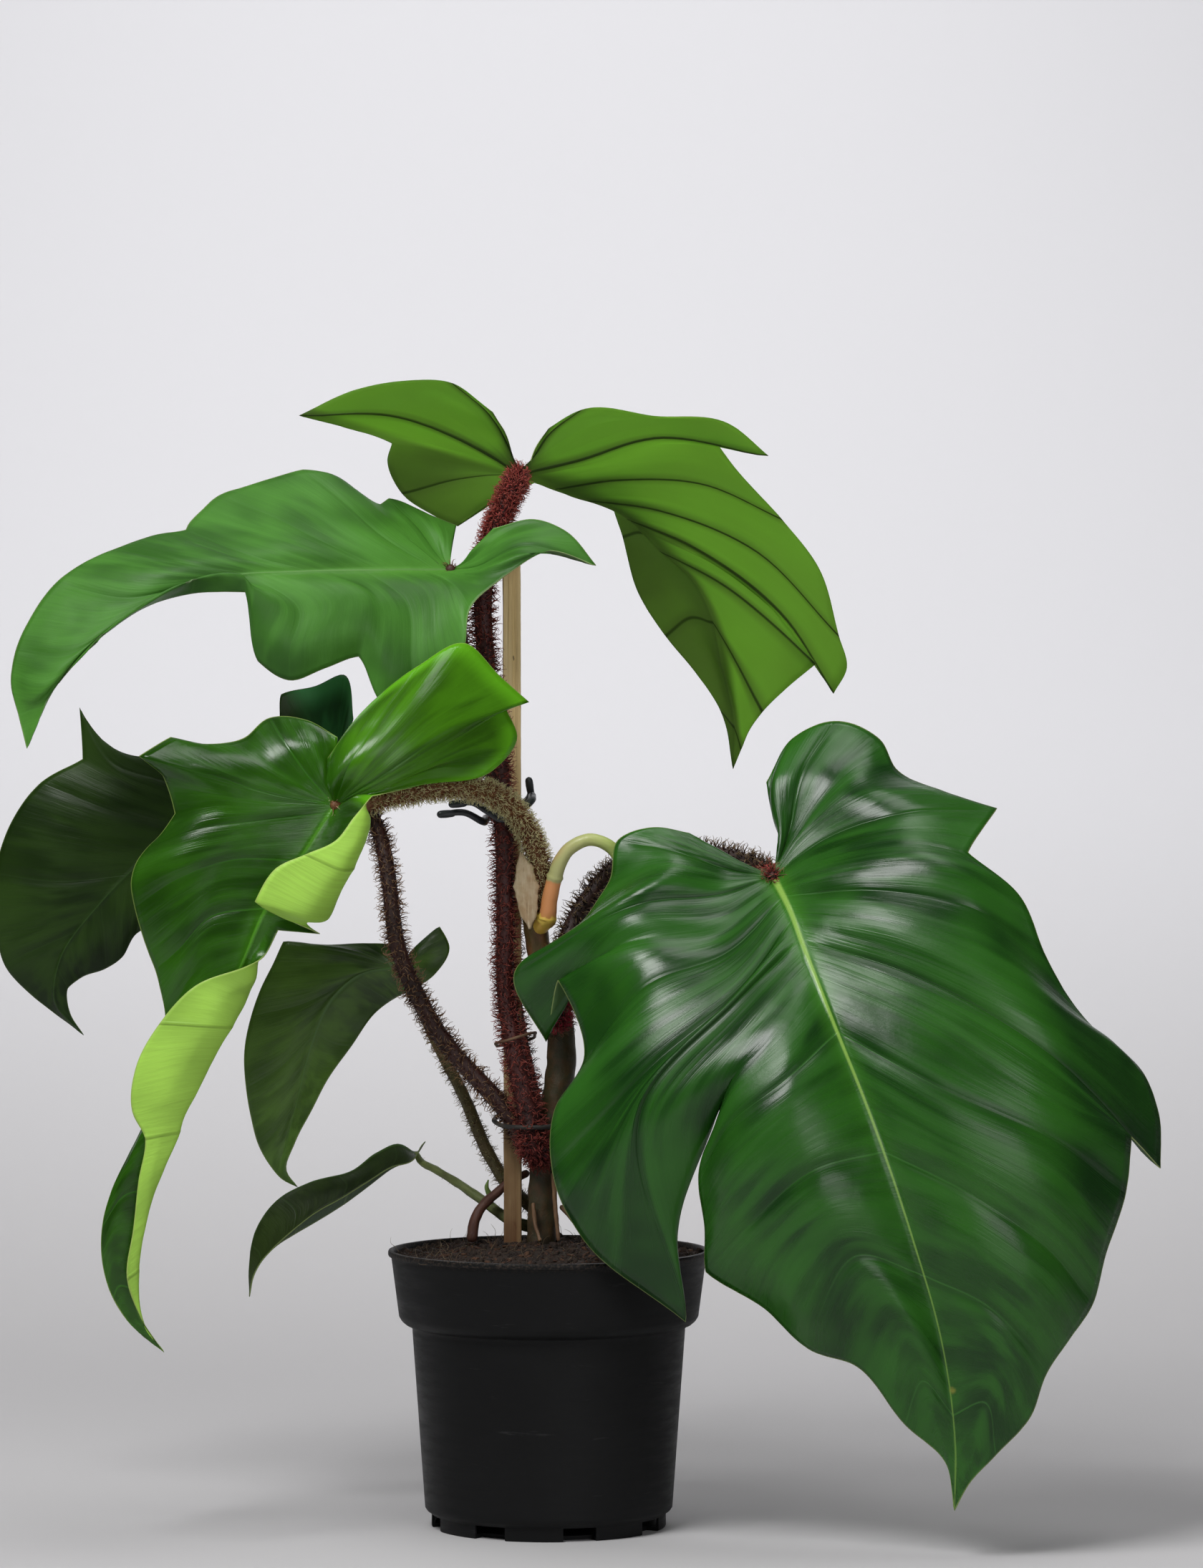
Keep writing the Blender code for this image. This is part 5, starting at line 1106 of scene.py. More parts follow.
def stake_finish():
    """Split softwood: long grain, darker brown low down, and painted shade on one face."""
    made, tree, shader, place = blank("stake_wood")
    grain = mottle(tree, stretched(tree, place, (520.0, 520.0, 9.0)), 1.0, 5.0, 0.7, 0.4)
    rings = mottle(tree, stretched(tree, place, (150.0, 150.0, 3.0)), 1.0, 2.0)
    patch = mottle(tree, stretched(tree, place, (60.0, 60.0, 22.0)), 1.0, 3.0)
    colour = blend(tree, eased(tree, rings, 0.35, 0.65), (0.95, 0.74, 0.38), (0.84, 0.61, 0.27))
    colour = blend(tree, eased(tree, grain, 0.52, 0.72, 0.0, 0.7), colour, (0.36, 0.21, 0.08))
    spots = mottle(tree, stretched(tree, place, (260.0, 260.0, 120.0)), 1.0, 2.0)
    colour = blend(tree, eased(tree, spots, 0.68, 0.74, 0.0, 0.8), colour, (0.10, 0.05, 0.02))
    split = add(tree, "ShaderNodeSeparateXYZ", {0: place})
    # Darker brown towards the bottom.
    darker_low_down = eased(tree, sums(tree, "MULTIPLY_ADD", patch, 0.12, split.outputs["Z"]), 0.22, 0.42, 1.0, 0.0)
    colour = blend(tree, darker_low_down, colour, (0.15, 0.062, 0.022))
    # Painted shade: the right face, turned from the key lamp, is painted darker.
    side = side_of(tree, place, (1.0, -STAKE_TOP_LEAN / STAKE_TOP, STAKE_AT[0] + STAKE_WIDTH / 2 - 3.2
                                 - STAKE_TOP_LEAN * POT_HEIGHT / STAKE_TOP, 0.5), 0.0, 0.3)
    colour = blend(tree, side, colour, (0.46, 0.31, 0.14))
    height = sums(tree, "MULTIPLY_ADD", grain, 1.0, sums(tree, "MULTIPLY", rings, 0.4))
    connect(tree, shader, colour, eased(tree, grain, 0.3, 0.7, 0.6, 0.85), height, 0.0007, 0.9)
    return made


def root_finish():
    """A young aerial root: yellow where it leaves the stem, orange up to its ring, then pale, then green."""
    made, tree, shader, place = blank("young_root")
    patch = mottle(tree, place, 75.0, 3.0)
    fine = mottle(tree, place, 500.0, 3.0)
    part_way = sums(tree, "MULTIPLY_ADD", patch, 0.05, attribute(tree, "share"))
    colour = blend(tree, eased(tree, part_way, 0.13, 0.20), (0.78, 0.50, 0.08), (0.76, 0.32, 0.12))
    colour = blend(tree, eased(tree, part_way, 0.325, 0.335), colour, (0.48, 0.48, 0.20))
    blush = sums(tree, "MULTIPLY", eased(tree, part_way, 0.38, 0.52, 1.0, 0.0),
                 side_of(tree, place, (1.0, -1.0, -397.0, 6.0), 1.0, 0.0))
    colour = blend(tree, sums(tree, "MULTIPLY", blush, eased(tree, part_way, 0.33, 0.34)), colour, (0.58, 0.12, 0.05))
    colour = blend(tree, eased(tree, part_way, 0.45, 0.75), colour, (0.32, 0.42, 0.09))
    connect(tree, shader, colour, eased(tree, fine, 0.3, 0.7, 0.32, 0.5), fine, 0.0003, 0.6)
    return made


def stem_finish():
    """The stem: dark olive and brown, ruddy near its top where the old sheaths dried."""
    made = skin("stem_skin", (0.040, 0.034, 0.012), (0.075, 0.040, 0.014), (0.022, 0.013, 0.008))
    tree = made.node_tree
    shader = tree.nodes["Principled BSDF"]
    place = [n for n in tree.nodes if n.type == "TEX_COORD"][0].outputs["Object"]
    before = shader.inputs["Base Color"].links[0].from_socket
    patch = mottle(tree, stretched(tree, place, (90.0, 90.0, 30.0)), 1.0, 3.0)
    upper = side_of(tree, place, (0.0, 1.0, 322.0, 16.0), 0.0, 1.0)
    ruddy = blend(tree, eased(tree, patch, 0.35, 0.65), (0.20, 0.065, 0.022), (0.11, 0.075, 0.02))
    tree.links.new(blend(tree, sums(tree, "MULTIPLY", upper, 0.85), before, ruddy), shader.inputs["Base Color"])
    return made


def paper_finish():
    """A dried bract: tan paper with pale and dark fibres."""
    made, tree, shader, place = blank("dry_bract")
    fibre = mottle(tree, stretched(tree, place, (900.0, 900.0, 60.0)), 1.0, 4.0, 0.7)
    patch = mottle(tree, place, 110.0, 3.0)
    colour = blend(tree, eased(tree, patch, 0.35, 0.7), (0.56, 0.44, 0.28), (0.42, 0.28, 0.15))
    colour = blend(tree, eased(tree, fibre, 0.5, 0.75, 0.0, 0.6), colour, (0.72, 0.62, 0.45))
    colour = blend(tree, eased(tree, fibre, 0.30, 0.44, 0.7, 0.0), colour, (0.14, 0.08, 0.04))
    connect(tree, shader, colour, eased(tree, fibre, 0.3, 0.7, 0.55, 0.8), fibre, 0.0004, 0.8)
    return made


def tie_finish(name, base, worn, rough, scale=700.0):
    """Plain plastic, rubber or wrapped wire, worn in patches."""
    made, tree, shader, place = blank(name)
    fine = mottle(tree, place, scale, 3.0, 0.6)
    patch = mottle(tree, place, 70.0, 2.0)
    colour = blend(tree, eased(tree, patch, 0.4, 0.75), base, worn)
    connect(tree, shader, colour, eased(tree, fine, 0.3, 0.7, rough, rough + 0.2), fine, 0.0002, 0.6)
    return made


# ---------------------------------------------------------------- how each leaf looks
# veins: the ribs that are side veins, on the right half and on the left
# relief: (height of the quilting, of the side ribs, depth of the midrib groove, roll of the margin)
BLADES = {
    "leaf_front": {
        "veins": ([2, 6, 9, 13, 16, 18, 20, 22], [2, 6, 9, 11, 13, 16, 18, 20, 22]),
        "relief": (2.6, 0.18, 1.3, 2.0), "columns": 42, "spacing": 3.0,
    },
    "leaf_top": {
        "veins": ([1, 4, 8, 10, 13, 15, 17], [1, 4, 7, 9, 11, 13, 15, 17]),
        "relief": (1.3, 0.2, 0.9, 1.5), "columns": 30,
    },
    "leaf_left_upper": {
        "veins": ([3, 6, 9, 13, 16, 18], [2, 5, 8, 11, 13, 15, 17, 19]),
        "relief": (1.3, 0.25, 1.0, 1.5), "columns": 32,
    },
    "leaf_bright": {
        "veins": ([2, 5, 8, 13, 16, 21, 24, 27], [2, 6, 10, 13, 16, 19, 22, 25, 27]),
        "relief": (0.8, 0.15, 0.5, 0.4), "columns": 32,
    },
    "leaf_dark_left": {
        "veins": ([3, 6, 8, 11, 13, 15], [1, 4, 8, 10, 12, 14, 16]),
        "relief": (1.4, 0.2, 1.0, 1.6), "columns": 30,
    },
    "leaf_lower_left": {
        "veins": ([1, 4, 6, 8, 10, 12], [1, 3, 6, 8, 10, 12]),
        "relief": (0.9, 0.15, 0.7, 1.0), "columns": 24,
    },
    "leaf_small": {
        "veins": ([2, 4, 6, 8], [2, 4, 6, 8]),
        "relief": (0.5, 0.1, 0.4, 0.4), "columns": 16,
    },
}
# Colours of the upper face, midrib, side veins, rim, underside and light that comes through;
# gloss is (lowest roughness, highest), glow the share of light let through, and scars are
# (place in the leaf's own frame, size, colour).
LOOKS = {
    "leaf_front": {
        "dark": (0.006, 0.038, 0.004), "light": (0.022, 0.108, 0.009), "young": (0.07, 0.27, 0.02),
        "rib": (0.26, 0.46, 0.08), "vein": (0.05, 0.19, 0.03), "rim": (0.34, 0.42, 0.14),
        "under": (0.060, 0.14, 0.035), "under_vein": (0.16, 0.28, 0.10), "through": (0.15, 0.45, 0.02),
        "gloss": (0.22, 0.37), "glow": 0.08, "rib_width": 2.8, "specular": 0.45, "between_vein_light": 0.4,
        "scars": (((155, -36, 438), 3.4, (0.30, 0.17, 0.06)), ((158, -54, 403), 2.2, (0.32, 0.19, 0.06)),
                  ((231, -146, 99), 2.6, (0.28, 0.26, 0.04)), ((205, -158, 327), 1.6, (0.42, 0.45, 0.30))),
    },
    "leaf_top": {
        "dark": (0.040, 0.13, 0.016), "light": (0.080, 0.24, 0.025), "young": (0.16, 0.38, 0.03),
        "rib": (0.22, 0.36, 0.06), "vein": (0.10, 0.25, 0.05), "rim": (0.24, 0.36, 0.08),
        # The dark underside veins and midrib are painted shade, where the veins let less light through.
        "under": (0.16, 0.27, 0.06), "under_vein": (0.035, 0.06, 0.02), "through": (0.66, 1.0, 0.28),
        "gloss": (0.28, 0.42), "glow": 0.86, "thin": 0.95,
        # The shade lines and tint below paint shade into the light let through.
        "shade": ((0.299, 1.0, 623.4, 2.5), (1.0, 0.0, -20.0, 8.0), (0.24, 0.30, 0.15)),
    },
    "leaf_left_upper": {
        "dark": (0.036, 0.130, 0.015), "light": (0.086, 0.280, 0.034), "young": (0.12, 0.34, 0.045),
        "rib": (0.13, 0.30, 0.07), "vein": (0.09, 0.28, 0.045), "rim": (0.30, 0.42, 0.15),
        "under": (0.08, 0.14, 0.045), "under_vein": (0.18, 0.30, 0.12), "through": (0.2, 0.5, 0.03),
        "gloss": (0.42, 0.54), "glow": 0.14, "rib_width": 1.8, "between_vein_light": 0.12, "vein_show": 0.25, "specular": 0.32,
    },
    "leaf_bright": {
        "dark": (0.011, 0.048, 0.002), "light": (0.026, 0.110, 0.004), "young": (0.07, 0.28, 0.008),
        "rib": (0.09, 0.30, 0.02), "vein": (0.05, 0.22, 0.015), "rim": (0.42, 0.56, 0.14),
        "under": (0.48, 0.84, 0.11), "under_vein": (0.26, 0.46, 0.05), "through": (0.5, 0.9, 0.04),
        # Past the zone line the upper lobe takes painted light, with painted shade in its creases.
        "gloss": (0.17, 0.30), "glow": 0.18, "zone": (1.0, 0.22, -15.0, 12.0), "painted_light_colour": (0.15, 0.50, 0.014),
    },
    "leaf_dark_left": {
        "dark": (0.009, 0.023, 0.003), "light": (0.022, 0.052, 0.006), "young": (0.035, 0.09, 0.015),
        "rib": (0.04, 0.09, 0.02), "vein": (0.03, 0.07, 0.012), "rim": (0.12, 0.18, 0.05),
        # Painted light: the underside colour and the light let through are raised, and the zone line paints the far
        # lobe lighter, for a lobe that lies in shade.
        "under": (0.07, 0.18, 0.08), "under_vein": (0.08, 0.14, 0.06), "through": (0.15, 0.45, 0.10),
        "zone": (1.0, 0.5, 95.0, 10.0), "painted_light_colour": (0.10, 0.42, 0.14),
        "gloss": (0.34, 0.48), "glow": 0.10, "vein_show": 0.25, "specular": 0.25,
    },
    "leaf_lower_left": {
        "dark": (0.020, 0.046, 0.006), "light": (0.060, 0.128, 0.015), "young": (0.07, 0.15, 0.02),
        "rib": (0.06, 0.13, 0.03), "vein": (0.045, 0.10, 0.02), "rim": (0.20, 0.28, 0.08),
        "under": (0.07, 0.11, 0.06), "under_vein": (0.11, 0.17, 0.08), "through": (0.1, 0.35, 0.02),
        "gloss": (0.28, 0.40), "glow": 0.06, "vein_show": 0.25, "specular": 0.45,
    },
    "leaf_small": {
        "dark": (0.010, 0.020, 0.003), "light": (0.022, 0.040, 0.006), "young": (0.03, 0.06, 0.010),
        "rib": (0.06, 0.12, 0.03), "vein": (0.04, 0.08, 0.02), "rim": (0.24, 0.32, 0.10),
        "under": (0.09, 0.13, 0.08), "under_vein": (0.14, 0.20, 0.10), "through": (0.15, 0.4, 0.03),
        "gloss": (0.38, 0.5), "glow": 0.06, "vein_show": 0.3, "specular": 0.25,
    },
}
# skin colours, then hairs: pieces to a square centimetre, shortest, longest, tilt, root and tip colours
STALKS = {
    "petiole_top": (((0.050, 0.009, 0.008), (0.085, 0.014, 0.011), (0.030, 0.009, 0.008)),
                    (32, 4.2, 8.0, 0.7, (0.070, 0.009, 0.008), (0.30, 0.055, 0.035))),
    "petiole_left_upper": (((0.045, 0.012, 0.009), (0.075, 0.018, 0.011), (0.030, 0.009, 0.008)),
                           (24, 4.0, 7.5, 0.7, (0.060, 0.012, 0.009), (0.22, 0.065, 0.032))),
    "petiole_bright": (((0.15, 0.05, 0.018), (0.22, 0.11, 0.035), (0.11, 0.03, 0.015)),
                       (86, 3.4, 6.4, 0.6, (0.26, 0.070, 0.022), (0.66, 0.62, 0.32))),
    "petiole_dark_left": (((0.030, 0.008, 0.006), (0.050, 0.012, 0.008), (0.022, 0.008, 0.006)),
                          (24, 4.2, 8.0, 0.7, (0.060, 0.014, 0.009), (0.30, 0.17, 0.08))),
    "petiole_lower_left": (((0.075, 0.065, 0.020), (0.11, 0.085, 0.030), (0.06, 0.025, 0.012)),
                           (26, 2.6, 5.2, 0.7, (0.12, 0.050, 0.020), (0.34, 0.30, 0.13))),
    "petiole_small": (((0.15, 0.19, 0.055), (0.21, 0.25, 0.08), (0.10, 0.10, 0.04)),
                      (2, 1.2, 2.4, 0.6, (0.14, 0.10, 0.05), (0.28, 0.22, 0.12))),
    "petiole_front": (((0.024, 0.008, 0.006), (0.040, 0.012, 0.008), (0.016, 0.007, 0.005)),
                      (26, 5.0, 9.0, 0.7, (0.040, 0.014, 0.009), (0.17, 0.11, 0.05))),
}
# the places with red tufts: stalk, place from the datum, reach, pieces to a square centimetre, tip colour
TUFTS = (("petiole_top", (-24.0, -12.0, 450.0), 38.0, 60, (0.42, 0.050, 0.040)),
         ("petiole_front", (5.0, -26.0, 146.0), 19.0, 120, (0.52, 0.028, 0.060)),
         ("petiole_front", (132.0, -54.0, 222.0), 16.0, 80, (0.42, 0.050, 0.040)),
         ("petiole_top", (-8.0, -24.0, 62.0), 18.0, 36, (0.22, 0.020, 0.018)))
# the swollen ring half-way along the arched root, and the collar where it leaves the stem
ROOT_RING = [(3.5, -27.2, 221.2, 4.5), (4.0, -27.8, 223.0, 5.1), (4.4, -28.3, 224.6, 4.4)]
ROOT_COLLAR = [(-1.5, -19.3, 197.6, 5.6), (-1.0, -20.0, 199.0, 6.1), (-0.6, -20.6, 200.4, 5.4)]
BROWN_ROOT = ((0.15, 0.075, 0.035), (0.20, 0.11, 0.05), (0.09, 0.04, 0.02))
SOIL_ROOTS = {
    "soil_root_left": ((0.09, 0.032, 0.02), (0.13, 0.05, 0.03), (0.05, 0.02, 0.012)),
    "soil_root_front": BROWN_ROOT, "soil_root_middle": BROWN_ROOT, "soil_root_right": BROWN_ROOT,
}


# ---------------------------------------------------------------- the pieces
def made_for(piece, node):
    """The finished form of a frame node."""
    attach(piece, "root")
    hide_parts(node)
    return piece


def trim(piece):
    """A piece added to a node, such as hairs or crumbs, with that node's material slot."""
    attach(piece, "root")
    return piece


def ground_of(piece, rule):
    """A copy of a surface for things to grow on. rule gives, at each point, a share of the full density."""
    ground = bpy.data.objects.new("ground", piece.data.copy())
    bpy.context.scene.collection.objects.link(ground)
    layer = ground.data.attributes.new("thick", "FLOAT", "POINT")
    layer.data.foreach_set("value", [rule(vert.co / MM) for vert in ground.data.vertices])
    return ground


def make_pot():
    """The pot: a turned shell with rolled edges, and drain slots cut through its foot."""
    band_foot = POT_HEIGHT - BAND_HEIGHT
    inner = BAND_TOP_RADIUS - POT_WALL
    profile = [
        (0, POT_FLOOR), (FOOT_RADIUS - POT_WALL - 0.5, POT_FLOOR), (FOOT_RADIUS - POT_WALL, POT_FLOOR + 0.5),
        (FOOT_RADIUS - POT_WALL, FOOT_HEIGHT), (BODY_FOOT_RADIUS - POT_WALL, FOOT_HEIGHT + 4.5),
        (BODY_TOP_RADIUS - POT_WALL, band_foot - 6.0), (BAND_FOOT_RADIUS - POT_WALL - 2.2, band_foot - 3.2),
        (BAND_FOOT_RADIUS - POT_WALL, band_foot + 1.0), (inner, POT_HEIGHT - LIP_HEIGHT),
        (inner + 0.5, POT_HEIGHT - 0.7), (inner + 0.9, POT_HEIGHT - 0.2), (inner + 1.4, POT_HEIGHT),
        (LIP_RADIUS - 1.1, POT_HEIGHT), (LIP_RADIUS - 0.35, POT_HEIGHT - 0.3), (LIP_RADIUS, POT_HEIGHT - 1.1),
        (LIP_RADIUS, POT_HEIGHT - LIP_HEIGHT + 0.9), (LIP_RADIUS - 0.3, POT_HEIGHT - LIP_HEIGHT + 0.2),
        (LIP_RADIUS - 0.9, POT_HEIGHT - LIP_HEIGHT), (BAND_TOP_RADIUS + 0.3, POT_HEIGHT - LIP_HEIGHT - 0.2),
        (BAND_TOP_RADIUS, POT_HEIGHT - LIP_HEIGHT - 0.9), (BAND_TOP_RADIUS - 0.06, POT_HEIGHT - LIP_HEIGHT - 2),
        (BAND_FOOT_RADIUS + 0.1, band_foot + 1.4), (BAND_FOOT_RADIUS - 0.05, band_foot + 0.4),
        (BAND_FOOT_RADIUS - 0.6, band_foot - 0.6), (BAND_FOOT_RADIUS - 1.8, band_foot - 2.4),
        (BAND_FOOT_RADIUS - 4.0, band_foot - 4.2), (BODY_TOP_RADIUS + 0.7, band_foot - 5.6),
        (BODY_TOP_RADIUS, band_foot - 7.2), (BODY_TOP_RADIUS - 0.06, band_foot - 9.0),
        (BODY_FOOT_RADIUS + 0.05, FOOT_HEIGHT + 4.4), (BODY_FOOT_RADIUS - 0.1, FOOT_HEIGHT + 2.6),
        (BODY_FOOT_RADIUS - 1.2, FOOT_HEIGHT + 1.0), (FOOT_RADIUS + 0.4, FOOT_HEIGHT - 0.6),
        (FOOT_RADIUS, FOOT_HEIGHT - 1.4), (FOOT_RADIUS, 0.9), (FOOT_RADIUS - 0.25, 0.3), (FOOT_RADIUS - 0.9, 0),
        (FOOT_RADIUS - 12.0, 0), (FOOT_RADIUS - 12.6, 0.5), (20.0, 0.5), (19.4, 0), (0, 0),
    ]
    pot = turned("pot", profile, pot_finish())
    tools = []
    for i in range(SLOT_COUNT):
        turn = 2 * math.pi * (i + FIRST_SLOT) / SLOT_COUNT
        reach = FOOT_RADIUS - SLOT_DEPTH / 2 + 2.5
        tool = block("slot_tool", (reach * math.cos(turn), reach * math.sin(turn), SLOT_HEIGHT / 2 - 2.0),
                     (SLOT_DEPTH + 5.0, SLOT_WIDTH, SLOT_HEIGHT + 4.0), turn)
        cut = pot.modifiers.new("slot", "BOOLEAN")
        cut.operation, cut.solver, cut.object = "DIFFERENCE", "EXACT", tool
        tools.append(tool)
    settle(pot)
    discard(*tools)
    soften = pot.modifiers.new("edges", "BEVEL")
    soften.width, soften.segments, soften.limit_method, soften.angle_limit = 0.3 * MM, 2, "ANGLE", math.radians(50)
    for polygon in pot.data.polygons:
        polygon.use_smooth = True
    pot.data.set_sharp_from_angle(angle=math.radians(38))
    made_for(pot, "nursery_pot")


def soil_top(x, y):
    """Height of the soil above the datum, in millimetres."""
    reach = math.hypot(x, y) / (BAND_TOP_RADIUS - POT_WALL - SOIL_FIT)
    mound = SOIL_MOUND * (1 - smooth(0.15, 1.05, reach)) - SOIL_DROP
    place = Vector((x, y, 0.0))
    return (mound + 1.5 * hills.noise(place / 16.0) + 1.0 * hills.noise(place / 6.0 + Vector((9, 2, 5)))
            + 0.5 * hills.noise(place / 2.6))


def make_soil():
    """The soil ball, rough on top, with crumbs, lumps, bark and root fibres strewn over it."""
    clear = POT_WALL + SOIL_FIT
    edge = BAND_TOP_RADIUS - clear
    rings, steps = 56, 150
    points, faces = [(0.0, 0.0, POT_HEIGHT + soil_top(0, 0))], []
    for ring in range(1, rings + 1):
        radius = edge * ring / rings
        for k in range(steps):
            x, y = radius * math.cos(2 * math.pi * k / steps), radius * math.sin(2 * math.pi * k / steps)
            points.append((x, y, POT_HEIGHT + soil_top(x, y)))
    band_foot = POT_HEIGHT - BAND_HEIGHT
    for radius, height in ((BAND_FOOT_RADIUS - clear, band_foot + 1.5), (BODY_TOP_RADIUS - clear, band_foot - 5.6),
                           (BODY_FOOT_RADIUS - clear, FOOT_HEIGHT + 5.0), (FOOT_RADIUS - clear, FOOT_HEIGHT + 1.6)):
        points += [(radius * math.cos(2 * math.pi * k / steps), radius * math.sin(2 * math.pi * k / steps), height)
                   for k in range(steps)]
        rings += 1
    for k in range(steps):
        faces.append((0, 1 + k, 1 + (k + 1) % steps))
    for ring in range(rings - 1):
        a, b = 1 + ring * steps, 1 + (ring + 1) * steps
        for k in range(steps):
            n = (k + 1) % steps
            faces.append((a + k, b + k, b + n, a + n))
    last = 1 + (rings - 1) * steps
    faces.append(tuple(last + k for k in range(steps))[::-1])
    mesh = bpy.data.meshes.new("soil_ball")
    mesh.from_pydata([tuple(c * MM for c in p) for p in points], [], faces)
    soil = place_mesh("soil_ball", mesh, [soil_finish("peat", (0.0143, 0.0072, 0.0039), (0.0358, 0.0182, 0.0091))])
    made_for(soil, "potting_soil")

    def bare(p):
        return (p.z > POT_HEIGHT - SOIL_DROP - 4.0 and math.hypot(p.x, p.y) < edge - 1.0
                and math.hypot(p.x - STAKE_AT[0], p.y - STAKE_AT[1]) > STAKE_WIDTH / 2 + 2.0
                and math.hypot(p.x - MAIN_STEM[1][0], p.y - MAIN_STEM[1][1]) > MAIN_STEM[1][3] + 1.5)

    on_top = ground_of(soil, lambda p: 1.0 if bare(p) else 0.0)
    lumps = shape_collection("lumps", [crumb(k, (0.8, 0.6), 0.5) for k in range(6)])
    chips = shape_collection("chips", [crumb(k + 20, (0.45, 0.22), 0.45) for k in range(5)])
    threads = shape_collection("threads", [strand([(0.5, 0.2), (0.3, -0.5), (-0.6, 0.3), (0.2, 0.6)], 0.035, 7),
                                           strand([(0.2, 0.5), (0.5, 0.2), (0.4, -0.3)], 0.03, 7),
                                           strand([(-0.2, 0.3), (-0.4, 0.5), (0.6, 0.4)], 0.04, 7)])
    crumbs_dark = soil_finish("peat_crumb", (0.0130, 0.0065, 0.0039), (0.0358, 0.0169, 0.0085), 0.0006)
    chips_brown = soil_finish("bark_chip", (0.039, 0.0143, 0.0065), (0.091, 0.039, 0.0169), 0.0006)
    pale = soil_finish("root_thread", (0.13, 0.0845, 0.0455), (0.221, 0.169, 0.104), 0.0002)
    trim(scatter("soil_crumbs", on_top, lumps, crumbs_dark, 12, 0.9, 3.4, 1.5, -0.0002, 3))
    trim(scatter("soil_lumps", on_top, lumps, crumbs_dark, 1.4, 3.5, 7.0, 1.5, -0.0008, 8))
    trim(scatter("bark_chips", on_top, chips, chips_brown, 1.6, 3.0, 8.5, 0.6, -0.0001, 5))
    trim(scatter("soil_threads", on_top, threads, pale, 0.8, 5.0, 15.0, 1.35, 0.0, 11))
    discard(on_top, lumps, chips, threads)


def make_stake():
    """A split square stake with sawn faces and slightly worn edges."""
    half = STAKE_WIDTH / 2
    points, faces = [], []
    levels = [-STAKE_BURIED, -STAKE_BURIED + 18.0] + [12.0 * k for k in range(36)] + [STAKE_TOP - 1.2, STAKE_TOP]
    around = [(-1, -1), (0, -1), (1, -1), (1, 0), (1, 1), (0, 1), (-1, 1), (-1, 0)]
    for number, height in enumerate(levels):
        size = 0.35 if number == 0 else 0.9 if number == len(levels) - 1 else 1.0
        lean = STAKE_TOP_LEAN * max(0.0, height) / STAKE_TOP
        for sx, sy in around:
            place = Vector((sx * 40.0, sy * 40.0, height / 26.0))
            worn = 0.35 * hills.noise(place) + 0.12 * hills.noise(place * 5.0)
            points.append(Vector((STAKE_AT[0] + lean + sx * (half * size + worn - 0.2),
                                  STAKE_AT[1] + sy * (half * size + worn - 0.2), height)) + DATUM)
    faces.append(tuple(range(8))[::-1])
    for ring in range(len(levels) - 1):
        for k in range(8):
            n = (k + 1) % 8
            faces.append((8 * ring + k, 8 * ring + n, 8 * ring + 8 + n, 8 * ring + 8 + k))
    top = 8 * (len(levels) - 1)
    faces.append(tuple(top + k for k in range(8)))
    mesh = bpy.data.meshes.new("wooden_stake")
    mesh.from_pydata([tuple(p * MM) for p in points], [], faces)
    stake = place_mesh("wooden_stake", mesh, [stake_finish()])
    mesh.set_sharp_from_angle(angle=math.radians(50))
    worn = stake.modifiers.new("worn edges", "BEVEL")
    worn.width, worn.segments, worn.limit_method, worn.angle_limit = 0.7 * MM, 2, "ANGLE", math.radians(50)
    made_for(stake, "stake")


def rooted(route):
    """The route with one more station before its first, sunk in the stem a little lower down."""
    first = Vector(route[0][:3]) - Vector((0.0, 0.0, 8.0))
    near = []
    for a, b in zip(MAIN_STEM, MAIN_STEM[1:]):
        low, high = Vector(a[:3]), Vector(b[:3])
        share = max(0.0, min(1.0, (first - low).dot(high - low) / (high - low).length_squared))
        near.append(low.lerp(high, share))
    place = min(near, key=lambda p: (p - first).length)
    return [(*place, min(route[0][3], 5.5))] + list(route)


